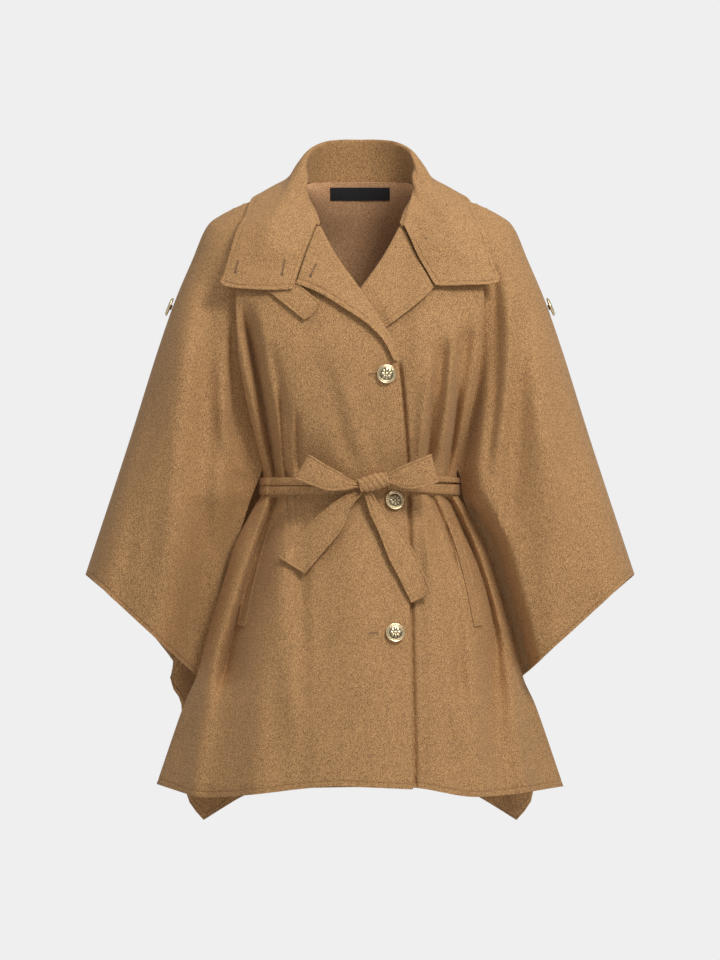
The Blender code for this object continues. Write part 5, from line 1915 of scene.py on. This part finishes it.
@dataclass
class Button:
    """A domed metal button with a turned rope ring and a plain rosette, on a shank."""

    name: str
    dresser: Dresser
    centre: np.ndarray
    normal: np.ndarray
    radius: float = 12.5
    height: float = 5.6
    seat: float = 0.5
    field_end: float = 0.66
    field_rows: int = 18
    ring: tuple[float, float] = (0.68, 0.86)
    ring_rows: int = 9
    face_from: float = 0.6
    rim_shade: float = 0.3
    turns: int = 108
    strands: int = 30
    petals: int = 8

    def profile(self) -> np.ndarray:
        """The button's turned outline, from the middle of its face round to the foot of its shank."""
        face = [(share, 0.985 - 0.15 * share**2) for share in np.linspace(0, self.field_end, self.field_rows)]
        inner, outer = self.ring
        ring = [(share, 0.88 + 0.1 * math.sin((share - inner) / (outer - inner) * math.pi))
                for share in np.linspace(inner, outer, self.ring_rows)]
        return np.array(face + ring + list(BUTTON_RIM)) * [self.radius, self.height]

    def relief(self, radius: np.ndarray, turn: np.ndarray) -> tuple[np.ndarray, np.ndarray]:
        """The raised pattern of the face.

        Args:
            radius: distances from the middle.
            turn: angles round it.

        Returns:
            The pattern's height in millimetres, and how much painted shade each place gets for lying between
            its ridges.
        """
        share = radius / self.radius
        petal = np.abs(np.cos(turn * self.petals / 2)) ** 0.8
        in_petals = np.exp(-(((share - 0.38) / 0.17) ** 4))
        boss = np.exp(-((share / 0.13) ** 4))
        rope = 0.5 + 0.5 * np.cos(turn * self.strands + share * 60)
        in_rope = np.exp(-(((share - 0.77) / 0.085) ** 4))
        height = 0.62 * petal * in_petals + 0.55 * boss + 0.38 * rope * in_rope
        field = share < self.field_end
        hollow_shade = field * (1 - np.maximum(petal**1.5 * in_petals, boss)) * 0.85 + in_rope * (1 - rope) * 0.6
        return height, np.clip(hollow_shade, 0, 0.95)

    def build(self) -> bpy.types.Object:
        """Builds and dresses the button."""
        profile = self.profile()
        turn = np.linspace(0, math.tau, self.turns + 1)
        on_face = (np.arange(len(profile)) < self.field_rows + self.ring_rows)[:, None]
        radius = np.repeat(profile[:, :1], len(turn), axis=1)
        height, _hollow = self.relief(radius, turn[None, :])
        out = self.normal / np.linalg.norm(self.normal)
        sideways = np.cross([0.0, 0.0, 1.0], out)
        sideways /= np.linalg.norm(sideways)
        upright = np.cross(out, sideways)
        rise = profile[:, 1:] + np.where(on_face, height, 0) + self.seat
        points = (self.centre + radius[..., None] * (np.cos(turn)[None, :, None] * sideways
                                                     + np.sin(turn)[None, :, None] * upright)
                  + rise[..., None] * out)
        middle = self.centre + out * self.height / 2
        piece = cloth_grid(self.name + "_metal", points, lambda c: c - middle, 0.0, closed=True)
        local = vertex_places(piece) / MM - self.centre
        across, up, along = local @ sideways, local @ upright, local @ out
        _height, hollow_shade = self.relief(np.hypot(across, up), np.arctan2(up, across))
        layer = piece.data.attributes.new("hollow_shade", "FLOAT", "POINT")
        # painted shade: the face is darkened in its hollows, and the rim and shank by a fixed share
        tone = np.where(along > self.height * self.face_from, hollow_shade, self.rim_shade)
        layer.data.foreach_set("value", tone.astype(np.float32))
        return self.dresser.place(piece, self.dresser.finishes.gold, "brass", self.name)


@dataclass
class Buttonholes:
    """Worked buttonholes and the small bars of thread that hold hidden buttons."""

    dresser: Dresser
    bar: float = 0.95
    half_gap: float = 1.0
    eyelet: float = 1.5
    slit_half: float = 0.3
    slit_lift: float = 0.12
    stitch_lift: float = 0.15
    mark_lift: float = 0.3
    mark_way: tuple[float, float, float] = (0.75, 0.0, -0.66)
    stitch: Thread = Thread(length=1.7, pitch=0.95, radius=0.26, dip=0.2)
    mark: Thread = Thread(length=3.6, pitch=3.6, radius=0.42, dip=0.5)

    def worked(self, name: str, holes: Sequence[tuple[Surface, Sequence[float], Sequence[float]]],
               eyelet: bool) -> None:
        """Works buttonholes: close stitches all round a slit of painted shade, a dark strip, with a round
        eyelet at the far end.

        Args:
            name: what the pieces' names start with.
            holes: for each hole, the surface, the slit's start and its end.
            eyelet: the far end is round.
        """
        at, along, out, slits = [], [], [], []
        for surface, start, end in holes:
            start, end = np.array(start, dtype=float), np.array(end, dtype=float)
            length = np.linalg.norm(end - start)
            ahead = (end - start) / length
            beside = np.array([-ahead[1], ahead[0]])
            wide = self.eyelet if eyelet else 0.0
            run = np.arange(0, length, self.bar)
            ring = [(start + ahead * step + beside * sign * self.half_gap, beside * sign)
                    for step in run for sign in (-1, 1)]
            half_turn = np.linspace(-0.5, 0.5, 5) * math.pi
            far_turn = np.linspace(-0.5, 0.5, 11) * math.pi * 1.35 if eyelet else half_turn
            for middle, reach, turns in ((end, self.half_gap + wide * 0.6, far_turn),
                                         (start, -self.half_gap, half_turn)):
                ways = [ahead * math.cos(a) + beside * math.sin(a) for a in turns]
                ring += [(middle + way * reach, way) for way in ways]
            for (x, z), (way_x, way_z) in ring:
                place, normal = surface.hit(x, z)
                at.append(place + normal * self.stitch_lift)
                along.append((way_x, 0.0, way_z))
                out.append(normal)
            slits.append(self.slit(surface, start, end, wide))
        work = self.stitch.sew_at(f"{name}_stitches", np.array(at), np.array(along), np.array(out))
        self.dresser.place(work, self.dresser.finishes.thread, "wool")
        # each slit is a dark strip of painted shade where the buttonhole is open
        for index, points in enumerate(slits):
            piece = cloth_grid(f"{name}_slit_{index + 1}", points, facing(FORWARD), 0.0)
            self.dresser.place(piece, self.dresser.finishes.shadow, "wool")

    def slit(self, surface: Surface, start: np.ndarray, end: np.ndarray, wide: float) -> np.ndarray:
        """A narrow dark strip just above the cloth, painted shade for the open slit, wider at its eyelet.

        Args:
            surface: the face that it lies on.
            start: the slit's start.
            end: the slit's far end.
            wide: how wide the eyelet is.

        Returns:
            The strip's grid of places.
        """
        length = np.linalg.norm(end - start)
        ahead = (end - start) / length
        beside = np.array([-ahead[1], ahead[0]])
        run = np.linspace(0, 1 + wide * 0.7 / length, 16)
        half = self.slit_half + wide * 0.6 * np.exp(-(((run - 1) * length / 1.5) ** 2))
        points = []
        for share, reach in zip(run, half):
            row = []
            for side in (-1, 0, 1):
                place, normal = surface.hit(*(start + ahead * share * length + beside * side * reach))
                row.append(place + normal * self.slit_lift)
            points.append(row)
        return np.array(points)

    def marks(self, name: str, places: Sequence[tuple[Surface, float, float]]) -> None:
        """Sews small bars of thread on a face.

        Args:
            name: the piece's name.
            places: for each bar, the surface and its x and z.
        """
        found = [surface.hit(x, z) for surface, x, z in places]
        at = np.array([place + normal * self.mark_lift for place, normal in found])
        out = np.array([normal for _place, normal in found])
        way = np.broadcast_to(self.mark_way, at.shape)
        self.dresser.place(self.mark.sew_at(name, at, way, out), self.dresser.finishes.shadow, "wool")


# ---- Studio ----
FLOOR_GREY = (0.8, 0.8, 0.8, 1.0)
FLOOR_ROUGHNESS = 0.9
# name, place and size in metres, power in watts
LIGHTS = (("key", (1.2, -1.95, 1.62), 0.8, 56.0), ("top", (0.1, -0.7, 2.5), 1.1, 16.0))


@dataclass
class Studio:
    """A plain pale floor and backdrop, soft light and a level camera straight in front."""

    height: float = 1.248
    centre_z: float = -0.364
    floor_z: float = -0.995
    pale: float = 0.863
    ambient: float = 0.43
    distance: float = 4.0
    floor_size: float = 8.0

    def build(self) -> None:
        """Builds the floor, the lights, the sky and the camera."""
        self.floor()
        self.sky()
        for light in LIGHTS:
            self.area(*light)
        place = (0.0, -self.distance, self.centre_z)
        bpy.ops.object.camera_add(location=place, rotation=(math.pi / 2, 0.0, 0.0))
        camera = bpy.context.active_object
        camera.data.type = "ORTHO"
        camera.data.ortho_scale = self.height
        scene = bpy.context.scene
        scene.camera = camera
        scene.view_settings.view_transform = "Standard"

    def floor(self) -> None:
        """A wide pale floor just under the view."""
        bpy.ops.mesh.primitive_plane_add(size=self.floor_size, location=(0.0, 0.0, 0.0))
        floor = bpy.context.active_object
        floor.name = "studio_floor"
        half = self.floor_size / 2
        corners = [(x, y, self.floor_z) for y in (-half, half) for x in (-half, half)]
        write_places(floor.data, np.array(corners) / MM)
        paint = bpy.data.materials.new("pale_floor")
        paint.use_nodes = True
        shader = paint.node_tree.nodes["Principled BSDF"]
        shader.inputs["Base Color"].default_value = FLOOR_GREY
        shader.inputs["Roughness"].default_value = FLOOR_ROUGHNESS
        floor.data.materials.append(paint)

    def sky(self) -> None:
        """A flat pale backdrop for the camera, and a weaker even light for the cape."""
        world = bpy.data.worlds.new("studio")
        world.use_nodes = True
        kit = NodeKit(world.node_tree)
        path = kit.add("ShaderNodeLightPath")
        background = world.node_tree.nodes["Background"]
        background.inputs["Color"].default_value = (1.0, 1.0, 1.0, 1.0)
        strength = kit.ramp(path.outputs["Is Camera Ray"], 0.0, 1.0, self.ambient, self.pale)
        kit.link(strength, background.inputs["Strength"])
        bpy.context.scene.world = world

    def area(self, name: str, place: tuple[float, float, float], size: float, power: float) -> None:
        """A soft square light that looks at the cape's middle.

        Args:
            name: its name.
            place: where it hangs, in metres.
            size: its side in metres.
            power: its power in watts.
        """
        aim = (Vector((0.0, 0.0, self.centre_z)) - Vector(place)).to_track_quat("-Z", "Y").to_euler()
        bpy.ops.object.light_add(type="AREA", location=place, rotation=aim)
        lamp = bpy.context.active_object
        lamp.name = name
        lamp.data.size = size
        lamp.data.energy = power


# ---- The whole cape ----
RIGHT_LAPEL = dict(
    roll=[(56, -34), (34, -74), (1, -120), (-38, -182), (-47, -209)],
    top=[(56, -34), (70, -70), (83, -109)],
    outer=[(83, -109), (53, -121), (16, -144), (-9, -161), (-30, -182), (-44, -208)],
    low=[(-47, -209), (-44, -208)], flat=(0.082, 0.225))
LEFT_LAPEL = dict(
    roll=[(56, -34), (34, -74), (1, -120), (-12.5, -139)],
    top=[(56, -34), (72, -70), (96, -113)],
    outer=[(96, -113), (85, -125), (58, -147), (30, -168), (19, -177)],
    low=[(-12.5, -139), (19, -177)], flat=(0.1, 0.155))
TAB_AXIS = ((124, -94), (60, -146))
WELT_AXIS = ((118, -416), (131, -451), (144, -500), (155, -554))
WELT_CUTS = ((Side.RIGHT, 0.0225), (Side.LEFT, 0.0235))
STRETCHES = (
    ("belt_right_upper", Side.RIGHT, 30, -360, -371, -361, -371),
    ("belt_right_lower", Side.RIGHT, -6, -371.6, -383, -371.6, -383),
    ("belt_left_upper", Side.LEFT, 50, -352, -364, -362, -368),
    ("belt_left_lower", Side.LEFT, 36, -368, -377.5, -370, -384),
)
LOOP_RIGHT = (
    (4, -368.8, 5, -373.2, 13), (-10, -365.5, -9, -375.5, 13.5), (-26, -354, -24, -378, 17),
    (-46, -343, -46, -377, 20), (-60, -334, -76, -366, 18), (-67, -331, -86, -363, 12.5),
    (-60, -334, -76, -366, 6.5), (-46, -343, -46, -375, 5.5), (-26, -354, -24, -374, 5.5),
    (-10, -364, -9, -375, 8), (4, -367.5, 5, -373.5, 9))
LOOP_LEFT = (
    (30, -360.5, 31, -366.5, 13), (44, -351, 45, -371, 14.5), (60, -343, 62, -376, 18),
    (78, -336, 82, -374, 19), (89, -331.5, 97, -369, 16), (93, -330, 102, -366, 11.5),
    (89, -334, 96, -362, 6.5), (78, -340, 81, -364, 5.5), (60, -346, 61, -366, 5.5),
    (44, -354, 45, -367, 6.5), (30, -361.5, 31, -366, 7))
TAIL_RIGHT = (
    (-6, -380.6, 4, -381.2, 9), (-24, -386, -12, -400, 7), (-49, -405, -25, -430, 5),
    (-73, -428, -49, -459, 4), (-108, -464, -72, -486, 3.2))
TAIL_LEFT = (
    (6, -382.6, 16, -378.8, 9), (13, -408, 27, -399, 7), (25, -434, 45, -420, 5),
    (38, -467, 68, -452, 4), (50, -490, 80, -478, 3.6), (67, -524, 93, -510, 3.2))
FRONT_BUTTONS = (("button_top", 34, -226), ("button_middle", 44, -391), ("button_bottom", 45, -563))
# a front buttonhole's two ends in x, the eyelet holes' two ends, and the marks' places
FRONT_HOLE = (22, 12)
LEAF_HOLES = (((-158.5, -79), (-162, -94)), ((-98, -78), (-101.5, -97)))
LAPEL_HOLE = ((-57.5, -84), (-64.5, -99))
LEAF_MARKS = ((113, -7), (136, -21), (79, -38), (86, -50))
LAPEL_MARK = (47, -61)
SHOULDER_BUTTON_Z = -140.0
SHOULDER_AXIS = (0.92, 0.38)


def shoulder_button(dresser: Dresser, side: Side) -> bpy.types.Object:
    """Builds the button on one overarm ridge.

    Args:
        dresser: dresses it.
        side: which shoulder.

    Returns:
        The button.
    """
    ridge, shares = FORM.ridge_points()
    nearest = int(np.abs(ridge[:, 1] - SHOULDER_BUTTON_Z).argmin())
    x, z = ridge[nearest]
    centre = np.array([side.value * x, float(FORM.ridge_y(shares[nearest])), z])
    out_x, up = SHOULDER_AXIS
    normal = np.array([side.value * out_x, 0.0, up])
    return Button(f"shoulder_button_{side.word}", dresser, centre, normal).build()


def main() -> None:
    """Builds the cape's pieces in order."""
    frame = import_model()
    LOG.info("frame: %s", type(frame).__name__)
    dresser = Dresser(Finishes.build())
    fronts = {side: Front(side, dresser).build() for side in Side}
    Back(dresser).build()
    collar = Collar(dresser).build()
    right_lapel = Lapel(Side.RIGHT, dresser, **RIGHT_LAPEL).build()
    left_lapel = Lapel(Side.LEFT, dresser, **LEFT_LAPEL).build()
    Strip("throat_tab", Side.RIGHT, dresser, TAB_AXIS, 16.0, (0.032, 0.087), gap=3.0, tip=4.0).build()
    for side, width in WELT_CUTS:
        Strip(f"pocket_welt_{side.word}", side, dresser, WELT_AXIS, 6.0, (width, 0.144),
              slot="wool_dark").build()
    Label(dresser).build()
    for name, side, *numbers in STRETCHES:
        BeltStretch(name, side, dresser, *numbers).build()
    BeltBack(dresser).build()
    Knot(dresser).build()
    Ribbon("bow_loop_right", dresser, LOOP_RIGHT, (0.036, 0.2), True).build()
    Ribbon("bow_loop_left", dresser, LOOP_LEFT, (0.024, 0.185), True).build()
    Ribbon("bow_tail_right", dresser, TAIL_RIGHT, (0.043, 0.14), False).build()
    Ribbon("bow_tail_left", dresser, TAIL_LEFT, (0.035, 0.165), False).build()
    front, leaf = Surface(fronts[Side.RIGHT]), Surface(collar)
    for name, x, z in FRONT_BUTTONS:
        Button(name, dresser, *front.hit(x, z)).build()
    for side in Side:
        shoulder_button(dresser, side)
    holes = Buttonholes(dresser)
    front_holes = [(front, (FRONT_HOLE[0], z), (FRONT_HOLE[1], z)) for _name, _x, z in FRONT_BUTTONS]
    holes.worked("front_holes", front_holes, eyelet=False)
    leaf_holes = [(leaf, start, end) for start, end in LEAF_HOLES]
    holes.worked("collar_holes", leaf_holes + [(Surface(right_lapel), *LAPEL_HOLE)], eyelet=True)
    leaf_marks = [(leaf, x, z) for x, z in LEAF_MARKS]
    holes.marks("thread_marks", leaf_marks + [(Surface(left_lapel), *LAPEL_MARK)])
    Studio().build()


if __name__ == "__main__":
    logging.basicConfig(level=logging.INFO)
    main()
